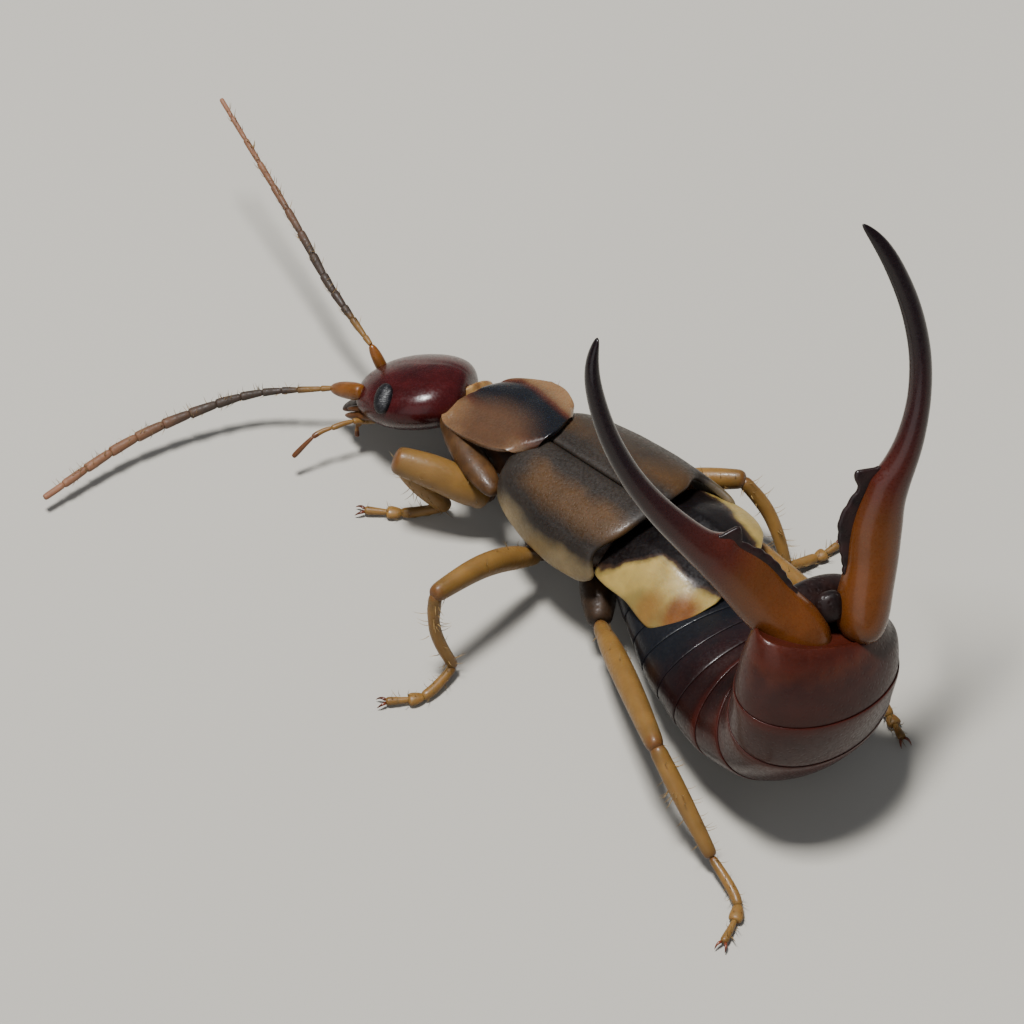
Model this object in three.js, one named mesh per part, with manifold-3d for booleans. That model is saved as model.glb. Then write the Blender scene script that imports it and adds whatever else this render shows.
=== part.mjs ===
// A male earwig in a threat pose, as a still life-size model, in millimetres.
// The head end points to -Y, the animal's left is +X, up is +Z, and the feet stand on z = 0.

import * as THREE from 'three';
import { LoftGeometry } from 'three/addons/geometries/LoftGeometry.js';
import { mergeVertices } from 'three/addons/utils/BufferGeometryUtils.js';
import Module from 'manifold-3d';

const wasm = await Module();
wasm.setup();

// Driving dimensions

const gap = 0.1;
const finest = 0.004;
const degrees = Math.PI / 180;

// The head is turned to the left and bent down, with its left side raised.
const headPlace = [ 0.41, -1.68, 1.17 ];
const headPitch = 26 * degrees;
const headRoll = -15 * degrees;
const headYaw = 31 * degrees;
const headLength = 1.95;
const headWidth = 2.04;
const headHeight = 1.08;

// The pronotum is a shield that slopes down to the head.
const pronotumPlace = [ -0.10, 0.92, 2.24 ];
const pronotumPitch = 20 * degrees;
const pronotumRoll = 2 * degrees;
const pronotumYaw = 6 * degrees;
const pronotumLength = 1.74;
const pronotumWidth = 1.78;
const pronotumThick = 0.26;

// The wing cases rise a little toward the rear.
const wingCasePlace = [ 0, 0.82, 2.16 ];
const wingCasePitch = 8.5 * degrees;
const wingCaseYaw = 4.5 * degrees;
const wingCaseLength = 2.88;
const wingCaseHalfWidth = 1.44;
const wingCaseThick = 0.28;
const wingTipLength = 2.20;
const wingTipOverlap = 0.45;

// The abdomen runs back low over the floor and curls up at the end.
const abdomenPath = [
	[ -0.15, 3.98, 1.46 ],
	[ 0.05, 5.00, 1.46 ],
	[ 0.28, 6.00, 1.46 ],
	[ 0.40, 7.00, 1.56 ],
	[ 0.38, 7.64, 1.98 ],
	[ 0.34, 7.90, 2.70 ],
	[ 0.18, 7.92, 3.46 ],
	[ -0.02, 7.88, 4.16 ],
];
const abdomenHalfWidth = 1.50;

// The forceps stand in one plane that leans forward over the back.
const forcepsRoot = [ -0.09, 7.94, 4.40 ];
const forcepsForward = [ -0.067, -0.439, 0.896 ];
const forcepsLeftward = [ 0.951, -0.299, -0.075 ];

// Sections of the two arms: distance along the forceps, distance out from the middle, half width,
// and how far the toothed ridge stands in from the inner side.
const forcepsArms = {
	left: [
		[ -0.5, 0.52, 0.38, 0 ], [ -0.1, 0.8, 0.42, 0.02 ], [ 0.25, 1, 0.435, 0.1 ],
		[ 0.5, 1.13, 0.425, 0.17 ], [ 0.75, 1.25, 0.405, 0.22 ], [ 1, 1.385, 0.38, 0.22 ],
		[ 1.2, 1.5, 0.355, 0.17 ], [ 1.34, 1.585, 0.34, 0.16 ], [ 1.42, 1.63, 0.33, 0.29 ],
		[ 1.5, 1.68, 0.32, 0.36 ], [ 1.63, 1.765, 0.305, 0.06 ], [ 1.84, 1.89, 0.28, 0 ], [ 2.35, 2.19, 0.24, 0 ],
		[ 2.8, 2.41, 0.21, 0 ], [ 3.26, 2.59, 0.19, 0 ], [ 3.67, 2.7, 0.175, 0 ],
		[ 4.07, 2.78, 0.165, 0 ], [ 4.45, 2.82, 0.155, 0 ], [ 4.82, 2.83, 0.145, 0 ],
		[ 5.22, 2.81, 0.13, 0 ], [ 5.58, 2.71, 0.1, 0 ], [ 5.86, 2.54, 0.03, 0 ],
	],
	right: [
		[ -0.5, 0.5, 0.4, 0 ], [ -0.1, 0.68, 0.41, 0 ], [ 0.25, 0.84, 0.42, 0.08 ],
		[ 0.5, 0.94, 0.42, 0.17 ], [ 0.75, 1.04, 0.41, 0.26 ], [ 0.95, 1.13, 0.4, 0.31 ],
		[ 1.1, 1.2, 0.38, 0.28 ], [ 1.25, 1.28, 0.36, 0.22 ], [ 1.38, 1.36, 0.34, 0.18 ],
		[ 1.46, 1.42, 0.33, 0.31 ], [ 1.54, 1.48, 0.32, 0.39 ], [ 1.67, 1.59, 0.29, 0.08 ],
		[ 1.85, 1.74, 0.265, 0 ], [ 2.1, 1.93, 0.235, 0 ], [ 2.44, 2.12, 0.21, 0 ], [ 2.8, 2.28, 0.19, 0 ], [ 3.2, 2.4, 0.185, 0 ],
		[ 3.6, 2.48, 0.18, 0 ], [ 4.05, 2.51, 0.175, 0 ], [ 4.5, 2.5, 0.17, 0 ],
		[ 4.95, 2.44, 0.16, 0 ], [ 5.4, 2.35, 0.145, 0 ], [ 5.78, 2.22, 0.11, 0 ],
		[ 6.08, 2.06, 0.03, 0 ],
	],
};

// Joints of each leg, from the body to the tip of the foot. The foot bends at the heel. lean is how
// far the middle of the shin stands out from the straight line.
const legs = {
	front_left: {
		hip: [ 0.42, -0.42, 0.98 ], trochanter: [ 0.88, 0.66, 0.84 ], knee: [ 1.80, -0.50, 1.53 ],
		ankle: [ 1.16, -0.06, 0.22 ], heel: [ 1.64, -0.42, 0.11 ], toe: [ 2.26, -1.04, 0.10 ],
		femur: 0.35, shin: 0.19, lean: [ 0.05, 0.02, 0 ], bow: 0.12,
	},
	front_right: {
		hip: [ -0.44, -0.36, 0.92 ], trochanter: [ -0.78, 0.66, 0.78 ], knee: [ -1.18, -0.26, 1.28 ],
		ankle: [ -1.30, 0.30, 0.22 ], heel: [ -1.36, -0.10, 0.11 ], toe: [ -1.50, -0.62, 0.10 ],
		femur: 0.28, shin: 0.17, lean: [ 0, 0, 0 ], bow: 0.04,
	},
	middle_left: {
		hip: [ 0.50, 1.70, 0.90 ], trochanter: [ 1.02, 2.12, 0.86 ], knee: [ 3.33, 2.24, 1.86 ],
		ankle: [ 3.25, 2.60, 0.22 ], heel: [ 3.94, 2.69, 0.11 ], toe: [ 4.60, 2.30, 0.10 ],
		femur: 0.24, shin: 0.125, lean: [ 0.14, -0.10, 0 ], bow: 0.30,
	},
	middle_right: {
		hip: [ -0.62, 1.70, 0.90 ], trochanter: [ -1.10, 2.14, 0.86 ], knee: [ -2.27, 3.46, 1.50 ],
		ankle: [ -2.30, 4.59, 0.22 ], heel: [ -2.92, 4.70, 0.11 ], toe: [ -3.40, 4.72, 0.10 ],
		femur: 0.24, shin: 0.13, lean: [ -0.18, -0.04, 0.02 ], bow: 0.15,
	},
	hind_left: {
		hip: [ 0.55, 3.10, 0.98 ], trochanter: [ 1.22, 3.90, 0.92 ], knee: [ 2.60, 6.87, 1.76 ],
		ankle: [ 2.68, 8.38, 0.36 ], heel: [ 2.88, 9.25, 0.13 ], toe: [ 3.66, 9.72, 0.10 ],
		femur: 0.25, shin: 0.16, lean: [ 0, 0, 0 ], bow: 0.08,
	},
	hind_right: {
		hip: [ -0.75, 3.10, 0.98 ], trochanter: [ -1.62, 3.42, 0.98 ], knee: [ -1.51, 6.10, 1.55 ],
		ankle: [ -1.66, 7.42, 0.36 ], heel: [ -1.56, 7.98, 0.13 ], toe: [ -1.40, 8.52, 0.10 ],
		femur: 0.24, shin: 0.15, lean: [ 0, 0, 0 ], bow: 0,
	},
};

// Feelers beyond the first joint, as points along the middle of each.
const feelers = {
	left: [
		[ 1.34, -2.80, 0.94 ], [ 1.53, -2.96, 0.92 ], [ 2.34, -3.64, 0.80 ],
		[ 3.33, -4.08, 0.67 ], [ 4.47, -4.37, 0.54 ], [ 6.20, -4.47, 0.35 ],
	],
	right: [
		[ 0.46, -2.83, 1.36 ], [ 0.42, -3.21, 1.45 ], [ 0.31, -4.10, 1.67 ],
		[ 0.08, -5.10, 1.92 ], [ -0.13, -6.19, 2.20 ], [ -0.44, -7.82, 2.60 ],
	],
};
const feelerJoints = 12;
const feelerRadius = 0.115;

// Colours and finishes

const looks = {
	head: [ '#4a120c', 0.25 ],
	eye: [ '#0b0a0a', 0.15 ],
	mouth: [ '#8a4a1e', 0.4 ],
	feeler: [ '#7d5c40', 0.5 ],
	leg: [ '#b9822f', 0.4 ],
	pronotum: [ '#3a2a20', 0.35 ],
	belly: [ '#6b4526', 0.5 ],
	wingCase: [ '#6d5a3f', 0.35 ],
	wingTip: [ '#b39a63', 0.35 ],
	abdomen: [ '#3d1d15', 0.35 ],
	forceps: [ '#7a3a14', 0.3 ],
};

const model = new THREE.Group();

// Helpers for points and sections

function point( xyz ) {

	return new THREE.Vector3( ...xyz );

}

function placed( place, pitch, roll, yaw ) {

	const turn = new THREE.Matrix4().makeRotationFromEuler( new THREE.Euler( pitch, roll, yaw, 'YXZ' ) );
	return turn.setPosition( ...place );

}

// A value read from a list of [ place, value ] pairs, straight between them.
function along( list, place ) {

	let value = list[ 0 ][ 1 ];

	for ( let i = 1; i < list.length; i ++ ) {

		const [ from, low ] = list[ i - 1 ];
		const [ to, high ] = list[ i ];
		const share = THREE.MathUtils.clamp( ( place - from ) / ( to - from ), 0, 1 );
		value = place > from ? low + ( high - low ) * share : value;

	}

	return value;

}

// An oval section. The four reaches are toward +across, -across, +rise and -rise.
function oval( centre, across, rise, reaches, power, count ) {

	const ring = [];

	for ( let i = 0; i < count; i ++ ) {

		const angle = ( i + 0.5 ) / count * Math.PI * 2;
		const c = Math.cos( angle );
		const s = Math.sin( angle );
		const side = Math.sign( c ) * Math.abs( c ) ** ( 2 / power ) * reaches[ c > 0 ? 0 : 1 ];
		const height = Math.sign( s ) * Math.abs( s ) ** ( 2 / power ) * reaches[ s > 0 ? 2 : 3 ];
		ring.push( centre.clone().addScaledVector( across, side ).addScaledVector( rise, height ) );

	}

	return ring;

}

// The normal of a section, as long as twice its area, by the right-hand rule.
function sectionNormal( ring ) {

	const normal = new THREE.Vector3();

	for ( let i = 1; i < ring.length - 1; i ++ ) {

		const first = ring[ i ].clone().sub( ring[ 0 ] );
		const second = ring[ i + 1 ].clone().sub( ring[ 0 ] );
		normal.add( first.cross( second ) );

	}

	return normal;

}

// A closed body through sections. Its faces point out when each section turns left about the way on.
function body( sections ) {

	const way = sections.at( -1 )[ 0 ].clone().sub( sections[ 0 ][ 0 ] );
	const turnsLeft = sectionNormal( sections[ 1 ] ).dot( way ) > 0;
	const rings = turnsLeft ? sections : sections.map( ( ring ) => ring.slice().reverse() );
	return new LoftGeometry( rings, { capStart: true, capEnd: true } );

}

// A body along a curve. sizes( t ) gives the four reaches of the section at share t of the length.
// grow makes the body larger all round, for cutting a clear space around it.
function limb( points, sizes, { rise = [ 0, 0, 1 ], stations, power = 2, count = 8, grow = 0 } ) {

	const curve = new THREE.CatmullRomCurve3( points, false, 'centripetal' );
	const upward = point( rise );
	const rings = stations.map( ( t, i ) => {

		const centre = curve.getPointAt( t );
		const tangent = curve.getTangentAt( t );
		const across = new THREE.Vector3().crossVectors( tangent, upward ).normalize();
		const normal = new THREE.Vector3().crossVectors( across, tangent );
		const reaches = sizes( t ).map( ( reach ) => reach + grow );

		if ( i === 0 ) centre.addScaledVector( tangent, -grow );
		if ( i === stations.length - 1 ) centre.addScaledVector( tangent, grow );

		return oval( centre, across, normal, reaches, power, count );

	} );

	return body( rings );

}

function round( radius ) {

	return [ radius, radius, radius, radius ];

}

// Solids for cutting

function solidOf( geometry ) {

	const bare = new THREE.BufferGeometry();
	bare.setAttribute( 'position', geometry.attributes.position );
	bare.setIndex( geometry.index );
	const merged = mergeVertices( bare, 1e-6 );
	return new wasm.Manifold( new wasm.Mesh( {
		numProp: 3,
		vertProperties: new Float32Array( merged.attributes.position.array ),
		triVerts: new Uint32Array( merged.index.array ),
	} ) );

}

// The geometry less what its neighbours need. Only its largest closed surface is kept.
function clearOf( geometry, neighbours ) {

	let solid = solidOf( geometry );

	for ( const neighbour of neighbours ) solid = solid.subtract( solidOf( neighbour ) );

	solid = solid.simplify( finest );
	const pieces = solid.decompose().sort( ( a, b ) => b.volume() - a.volume() );
	const mesh = pieces[ 0 ].getMesh();
	const cut = new THREE.BufferGeometry();
	cut.setAttribute( 'position', new THREE.BufferAttribute( new Float32Array( mesh.vertProperties ), 3 ) );
	cut.setIndex( new THREE.BufferAttribute( new Uint32Array( mesh.triVerts ), 1 ) );
	cut.computeVertexNormals();
	return cut;

}

function add( name, geometry, look ) {

	const [ color, roughness ] = looks[ look ];
	const material = new THREE.MeshStandardMaterial( { color, roughness, metalness: 0 } );
	const mesh = new THREE.Mesh( geometry, material );
	mesh.name = name;
	model.add( mesh );

}

const sides = [ [ 'left', 1 ], [ 'right', -1 ] ];

// Head

const headFrame = placed( headPlace, headPitch, headRoll, headYaw );
const headHalf = headWidth / 2;
const headRear = 0.97;
const headFront = headRear - headLength;

// Share of the full half width, and of the full half height, at shares of the head's length.
const headWidths = [ [ 0, 0.30 ], [ 0.03, 0.52 ], [ 0.1, 0.76 ], [ 0.24, 0.93 ], [ 0.42, 1 ], [ 0.6, 0.98 ],
	[ 0.76, 0.84 ], [ 0.88, 0.66 ], [ 0.96, 0.50 ], [ 1, 0.40 ] ];
const headHeights = [ [ 0, 0.42 ], [ 0.03, 0.62 ], [ 0.1, 0.82 ], [ 0.24, 0.96 ], [ 0.42, 1 ], [ 0.6, 0.98 ],
	[ 0.76, 0.88 ], [ 0.88, 0.70 ], [ 0.96, 0.50 ], [ 1, 0.36 ] ];

function headGeometry( grow ) {

	const xAxis = new THREE.Vector3( 1, 0, 0 );
	const zAxis = new THREE.Vector3( 0, 0, 1 );
	const rings = headWidths.map( ( [ t ] ) => {

		const spread = t === 0 ? grow : t === 1 ? -grow : 0;
		const centre = new THREE.Vector3( 0, headRear - headLength * t + spread, -0.05 * t );
		const half = headHalf * along( headWidths, t ) + grow;
		const height = headHeight / 2 * along( headHeights, t ) + grow;
		return oval( centre, xAxis, zAxis, [ half, half, height, height ], 2.3, 24 );

	} );
	return body( rings ).applyMatrix4( headFrame );

}

// A small part that grows from the head, given by points in the head's own frame.
function headPart( points, sizes, options ) {

	const moved = points.map( ( xyz ) => point( xyz ).applyMatrix4( headFrame ) );
	const rise = new THREE.Vector3( 0, 0, 1 ).transformDirection( headFrame ).toArray();
	return limb( moved, sizes, { rise, ...options } );

}

const shortStations = [ 0, 0.12, 0.5, 0.88, 1 ];

function rounded( list, end = 0.7 ) {

	return ( t ) => {

		const share = along( [ [ 0, end ], [ 0.12, 1 ], [ 0.88, 1 ], [ 1, end ] ], t );
		return round( share * along( list, t ) );

	};

}

const eyeDome = [ [ 0, 1 ], [ 0.6, 0.95 ], [ 1, 0.6 ] ];

const eyeGeometry = ( side, grow ) => headPart(
	[ [ 0.80 * side, -0.26, 0.12 ], [ 1.02 * side, -0.33, 0.15 ] ],
	( t ) => [ 0.17, 0.17, 0.14, 0.14 ].map( ( reach ) => reach * along( eyeDome, t ) ),
	{ stations: [ 0, 0.6, 0.85, 1 ], count: 12, grow },
);

const scapeStart = ( side ) => [ 0.40 * side, headFront + 0.22, 0.14 ];

function scapeGeometry( side, grow ) {

	const start = point( scapeStart( side ) ).applyMatrix4( headFrame );
	const end = point( feelers[ side > 0 ? 'left' : 'right' ][ 0 ] );
	const sizes = rounded( [ [ 0, 0.11 ], [ 0.4, 0.16 ], [ 1, 0.17 ] ] );
	return limb( [ start, end ], sizes, { stations: shortStations, grow } );

}

const labrumGeometry = ( grow ) => headPart(
	[ [ 0, headFront + 0.06, -0.02 ], [ 0, headFront - 0.24, -0.10 ] ],
	( t ) => [ 0.30 - 0.08 * t, 0.30 - 0.08 * t, 0.15 - 0.05 * t, 0.13 - 0.03 * t ],
	{ stations: [ 0, 0.5, 0.85, 1 ], count: 12, power: 2.6, grow },
);

const mandibleGeometry = ( side, grow ) => headPart(
	[ [ 0.40 * side, headFront + 0.14, -0.22 ], [ 0.34 * side, headFront - 0.12, -0.27 ],
		[ 0.14 * side, headFront - 0.32, -0.30 ] ],
	rounded( [ [ 0, 0.16 ], [ 0.6, 0.14 ], [ 1, 0.08 ] ] ),
	{ stations: [ 0, 0.12, 0.4, 0.7, 1 ], count: 8, grow },
);

// Points of the long palps in the head's frame, counted along the head from its front end.
const palpPoints = {
	left: [ [ 0.50, 0.26, -0.42 ], [ 0.74, 0.05, -0.55 ], [ 0.90, -0.52, -0.64 ], [ 1.02, -0.95, -0.69 ] ],
	right: [ [ -0.50, 0.26, -0.40 ], [ -0.60, 0.02, -0.40 ], [ -0.56, -0.26, -0.34 ], [ -0.44, -0.48, -0.26 ] ],
};

const maxillaryPalpGeometry = ( name, grow ) => headPart(
	palpPoints[ name ].map( ( [ x, y, z ] ) => [ x, headFront + y, z ] ),
	rounded( [ [ 0, 0.11 ], [ 1, 0.08 ] ] ),
	{ stations: [ 0, 0.1, 0.3, 0.5, 0.7, 0.9, 1 ], count: 6, grow },
);

const labialPalpGeometry = ( side, grow ) => headPart(
	[ [ 0.20 * side, headFront + 0.26, -0.46 ], [ 0.26 * side, headFront, -0.60 ],
		[ 0.30 * side, headFront - 0.2, -0.66 ] ],
	rounded( [ [ 0, 0.09 ], [ 1, 0.07 ] ] ),
	{ stations: shortStations, count: 6, grow },
);

const headSolid = headGeometry( 0 );
const headSpace = headGeometry( gap );

add( 'head', clearOf( headSolid, sides.map( ( [ , side ] ) => eyeGeometry( side, gap ) ) ), 'head' );
add( 'labrum', clearOf( labrumGeometry( 0 ), [ headSpace ] ), 'mouth' );

for ( const [ name, side ] of sides ) {

	add( `eye_${ name }`, eyeGeometry( side, 0 ), 'eye' );
	const mouthSpace = [ headSpace, labrumGeometry( gap ) ];
	add( `mandible_${ name }`, clearOf( mandibleGeometry( side, 0 ), mouthSpace ), 'mouth' );
	const palpSpace = [ headSpace, mandibleGeometry( side, gap ) ];
	add( `palp_maxillary_${ name }`, clearOf( maxillaryPalpGeometry( name, 0 ), palpSpace ), 'mouth' );
	add( `palp_labial_${ name }`, clearOf( labialPalpGeometry( side, 0 ), palpSpace ), 'mouth' );
	add( `antenna_${ name }_scape`, clearOf( scapeGeometry( side, 0 ), mouthSpace ), 'leg' );

}

// The rest of each feeler: many short joints, each a little wider at its far end.

for ( const [ name, side ] of sides ) {

	const stations = [ 0 ];

	for ( let i = 1; i <= feelerJoints; i ++ ) {

		stations.push( ( i - 0.85 ) / feelerJoints );
		stations.push( ( i - 0.1 ) / feelerJoints );

	}

	stations.push( 1 );
	const sizes = ( t ) => {

		const step = ( t * feelerJoints ) % 1;
		const bead = along( [ [ 0, 0.84 ], [ 0.3, 0.9 ], [ 0.9, 1 ], [ 1, 0.84 ] ], step );
		return round( feelerRadius * bead * along( [ [ 0, 1 ], [ 0.5, 0.86 ], [ 1, 0.62 ] ], t ) );

	};
	const flagellum = limb( feelers[ name ].map( point ), sizes, { stations, count: 6 } );
	add( `antenna_${ name }_flagellum`, clearOf( flagellum, [ scapeGeometry( side, gap ) ] ), 'feeler' );

}

// Pronotum: a shield with a raised disc and thin side margins

const pronotumFrame = placed( pronotumPlace, pronotumPitch, pronotumRoll, pronotumYaw );

// Share of the full half width at shares of the length from the rear edge to the front edge.
const pronotumWidths = [ [ 0, 0.50 ], [ 0.05, 0.76 ], [ 0.14, 0.93 ], [ 0.28, 1 ], [ 0.5, 0.98 ],
	[ 0.72, 0.92 ], [ 0.86, 0.86 ], [ 0.95, 0.78 ], [ 1, 0.66 ] ];
const pronotumColumns = 12;
const pronotumRise = 0.12;

function pronotumGeometry( grow ) {

	const rings = pronotumWidths.map( ( [ t, share ] ) => {

		const spread = t === 0 ? grow : t === 1 ? -grow : 0;
		const y = -pronotumLength * t + spread;
		const half = pronotumWidth / 2 * share + grow;
		const top = [];
		const bottom = [];

		for ( let i = 0; i <= pronotumColumns; i ++ ) {

			const across = i / pronotumColumns * 2 - 1;
			const dome = pronotumRise * ( 1 - Math.abs( across ) ** 2.2 );
			const thick = pronotumThick * ( 1 - 0.5 * Math.abs( across ) ** 3 );
			top.push( new THREE.Vector3( across * half, y, dome - pronotumRise + grow ) );
			bottom.push( new THREE.Vector3( across * half, y, dome - pronotumRise - thick - grow ) );

		}

		return [ ...top, ...bottom.reverse() ];

	} );
	return body( rings ).applyMatrix4( pronotumFrame );

}

const prothoraxGeometry = ( grow ) => {

	const ends = [ [ 0, -0.14, -0.72 ], [ 0, -pronotumLength + 0.22, -0.68 ] ];
	const points = ends.map( ( xyz ) => point( xyz ).applyMatrix4( pronotumFrame ) );
	const rise = new THREE.Vector3( 0, 0, 1 ).transformDirection( pronotumFrame ).toArray();
	const sizes = ( t ) => {

		const half = along( [ [ 0, 0.56 ], [ 0.15, 0.66 ], [ 0.8, 0.62 ], [ 1, 0.42 ] ], t );
		return [ half, half, 0.36, 0.42 ];

	};
	return limb( points, sizes, { rise, stations: [ 0, 0.12, 0.4, 0.7, 0.9, 1 ], power: 2.6, count: 16, grow } );

};

const neckGeometry = ( grow ) => {

	const rear = new THREE.Vector3( 0, -pronotumLength + 0.3, -0.62 ).applyMatrix4( pronotumFrame );
	const front = new THREE.Vector3( 0, headRear - 0.15, -0.06 ).applyMatrix4( headFrame );
	const sizes = ( t ) => {

		const half = 0.42 + 0.06 * Math.sin( Math.PI * t );
		return [ half, half, 0.30, 0.32 ];

	};
	return limb( [ rear, front ], sizes, { stations: [ 0, 0.3, 0.6, 1 ], count: 14, grow } );

};

add( 'pronotum', clearOf( pronotumGeometry( 0 ), [ headSpace ] ), 'pronotum' );
add( 'prothorax', clearOf( prothoraxGeometry( 0 ), [ headSpace, pronotumGeometry( gap ) ] ), 'belly' );
const neckSpace = [ headSpace, pronotumGeometry( gap ), prothoraxGeometry( gap ) ];
add( 'neck', clearOf( neckGeometry( 0 ), neckSpace ), 'belly' );

// Wing cases: two plates that arch from the middle line over the sides of the thorax

const wingCaseFrame = placed( wingCasePlace, wingCasePitch, 0, wingCaseYaw );
const wingCaseWidths = [ [ 0, 0.70 ], [ 0.06, 0.76 ], [ 0.2, 0.86 ], [ 0.42, 0.95 ], [ 0.7, 1 ], [ 1, 0.98 ] ];
const wingCaseDrops = [ [ 0, 0.74 ], [ 0.4, 0.92 ], [ 0.75, 1.02 ], [ 1, 1.02 ] ];
const archPower = 2.5;
const archSteps = 9;

// A point on the arch, from the middle line at turn 0 to the side margin at turn 1.
function archPoint( share, turn, inset ) {

	const angle = ( 1 - turn ) * Math.PI / 2;
	const half = wingCaseHalfWidth * along( wingCaseWidths, share ) - inset;
	const drop = wingCaseHalfWidth * 0.72 * along( wingCaseDrops, share );
	const x = half * Math.cos( angle ) ** ( 2 / archPower );
	const z = -drop + ( drop - inset ) * Math.sin( angle ) ** ( 2 / archPower );
	return [ x, z ];

}

function wingCaseGeometry( side, grow ) {

	const stations = [ 0, 0.07, 0.2, 0.36, 0.52, 0.68, 0.82, 0.93, 1 ];
	const first = 0.045;
	const rings = stations.map( ( share ) => {

		const outer = [];
		const inner = [];

		for ( let i = 0; i <= archSteps; i ++ ) {

			const turn = i / archSteps;
			const rear = wingCaseLength * ( 1 - 0.20 * turn ** 4 );
			const spread = share === 0 ? -grow : share === 1 ? grow : 0;
			const y = share * rear + spread;
			const [ x0, z0 ] = archPoint( share, turn, -grow );
			const edge = 1 - 0.35 * share ** 6;
			const [ x1, z1 ] = archPoint( share, turn, wingCaseThick * edge + grow );
			const middle = first * ( 1 - turn ) - grow * ( 1 - turn );
			const rim = grow * turn ** 6;
			outer.push( new THREE.Vector3( side * ( x0 + middle ), y, z0 - rim ) );
			inner.push( new THREE.Vector3( side * ( x1 + middle ), y, z1 - rim ) );

		}

		return [ ...outer, ...inner.reverse() ];

	} );
	return body( rings ).applyMatrix4( wingCaseFrame );

}

// Thorax under the wing cases. Its back falls at the rear to leave room for the folded wings.

const rearFall = [ [ 2.1, 0 ], [ 2.4, 0.34 ] ];

function thoraxGeometry( from, to, grow ) {

	const inset = wingCaseThick + gap - grow;
	const shares = [ 0, 0.2, 0.4, 0.6, 0.8, 1 ];
	const rings = shares.map( ( t ) => {

		const spread = t === 0 ? -grow : t === 1 ? grow : 0;
		const y = from + ( to - from ) * t + spread;
		const share = Math.min( y / wingCaseLength, 1 );
		const [ half ] = archPoint( share, 1, inset );
		const top = archPoint( share, 0, inset )[ 1 ] - along( rearFall, y );
		const floorDrop = -1.24 - 0.15 * y - grow;
		const middle = -0.82;
		const width = half - 0.04 - 0.8 * along( rearFall, y );
		const centre = new THREE.Vector3( 0, y, middle );
		const reaches = [ width, width, top - middle, middle - floorDrop ];
		return oval( centre, new THREE.Vector3( 1, 0, 0 ), new THREE.Vector3( 0, 0, 1 ), reaches, 2.4, 20 );

	} );
	return body( rings ).applyMatrix4( wingCaseFrame );

}

const mesothoraxGeometry = ( grow ) => thoraxGeometry( 0.02, 1.38, grow );
const metathoraxGeometry = ( grow ) => thoraxGeometry( 1.48, 2.98, grow );

const shieldSpaces = [ pronotumGeometry( gap ), prothoraxGeometry( gap ) ];

add( 'mesothorax', clearOf( mesothoraxGeometry( 0 ), shieldSpaces ), 'belly' );
add( 'metathorax', metathoraxGeometry( 0 ), 'belly' );

for ( const [ name, side ] of sides ) {

	const neighbours = [ ...shieldSpaces, mesothoraxGeometry( gap * 0.8 ), metathoraxGeometry( gap * 0.8 ) ];
	add( `elytron_${ name }`, clearOf( wingCaseGeometry( side, 0 ), neighbours ), 'wingCase' );

}

// Wing tips: the folded wings show as a pointed flap past each wing case.
// Reach to the outer edge, height of the middle edge and thickness, at shares of the flap's length.

const wingTipReaches = [ [ 0, 0.96 ], [ 0.2, 1.34 ], [ 0.45, 1.48 ], [ 0.6, 1.30 ], [ 0.75, 0.94 ],
	[ 0.88, 0.58 ], [ 0.96, 0.34 ], [ 1, 0.22 ] ];
const wingTipHeights = [ [ 0, -0.42 ], [ 0.4, -0.38 ], [ 0.65, -0.46 ], [ 1, -0.72 ] ];
const wingTipThicks = [ [ 0, 0.24 ], [ 0.7, 0.24 ], [ 1, 0.16 ] ];
const wingTipColumns = 7;

function wingTipGeometry( side, grow ) {

	const stations = [ 0, 0.2, 0.33, 0.45, 0.6, 0.75, 0.88, 0.96, 1 ];
	const rings = stations.map( ( t ) => {

		const spread = t === 0 ? -grow : t === 1 ? grow : 0;
		const y = wingCaseLength - wingTipOverlap + wingTipLength * t + spread;
		const inner = 0.06 + 0.04 * t;
		const outer = along( wingTipReaches, t );
		const lift = along( wingTipHeights, t );
		const thick = along( wingTipThicks, t );
		const top = [];
		const bottom = [];

		for ( let i = 0; i <= wingTipColumns; i ++ ) {

			const across = i / wingTipColumns;
			const x = inner - grow + ( outer - inner + 2 * grow ) * across;
			const fall = 0.55 * ( Math.max( x, 0 ) / 1.2 ) ** 2.3;
			top.push( new THREE.Vector3( side * x, y, lift - fall + grow ) );
			bottom.push( new THREE.Vector3( side * x, y, lift - fall - thick - grow ) );

		}

		return [ ...top, ...bottom.reverse() ];

	} );
	return body( rings ).applyMatrix4( wingCaseFrame );

}

for ( const [ name, side ] of sides ) {

	const neighbours = [ metathoraxGeometry( gap ), wingCaseGeometry( side, gap ) ];
	add( `wing_tip_${ name }`, clearOf( wingTipGeometry( side, 0 ), neighbours ), 'wingTip' );

}

// Abdomen: ten rings, each flared toward its rear edge where it laps over the next

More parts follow.
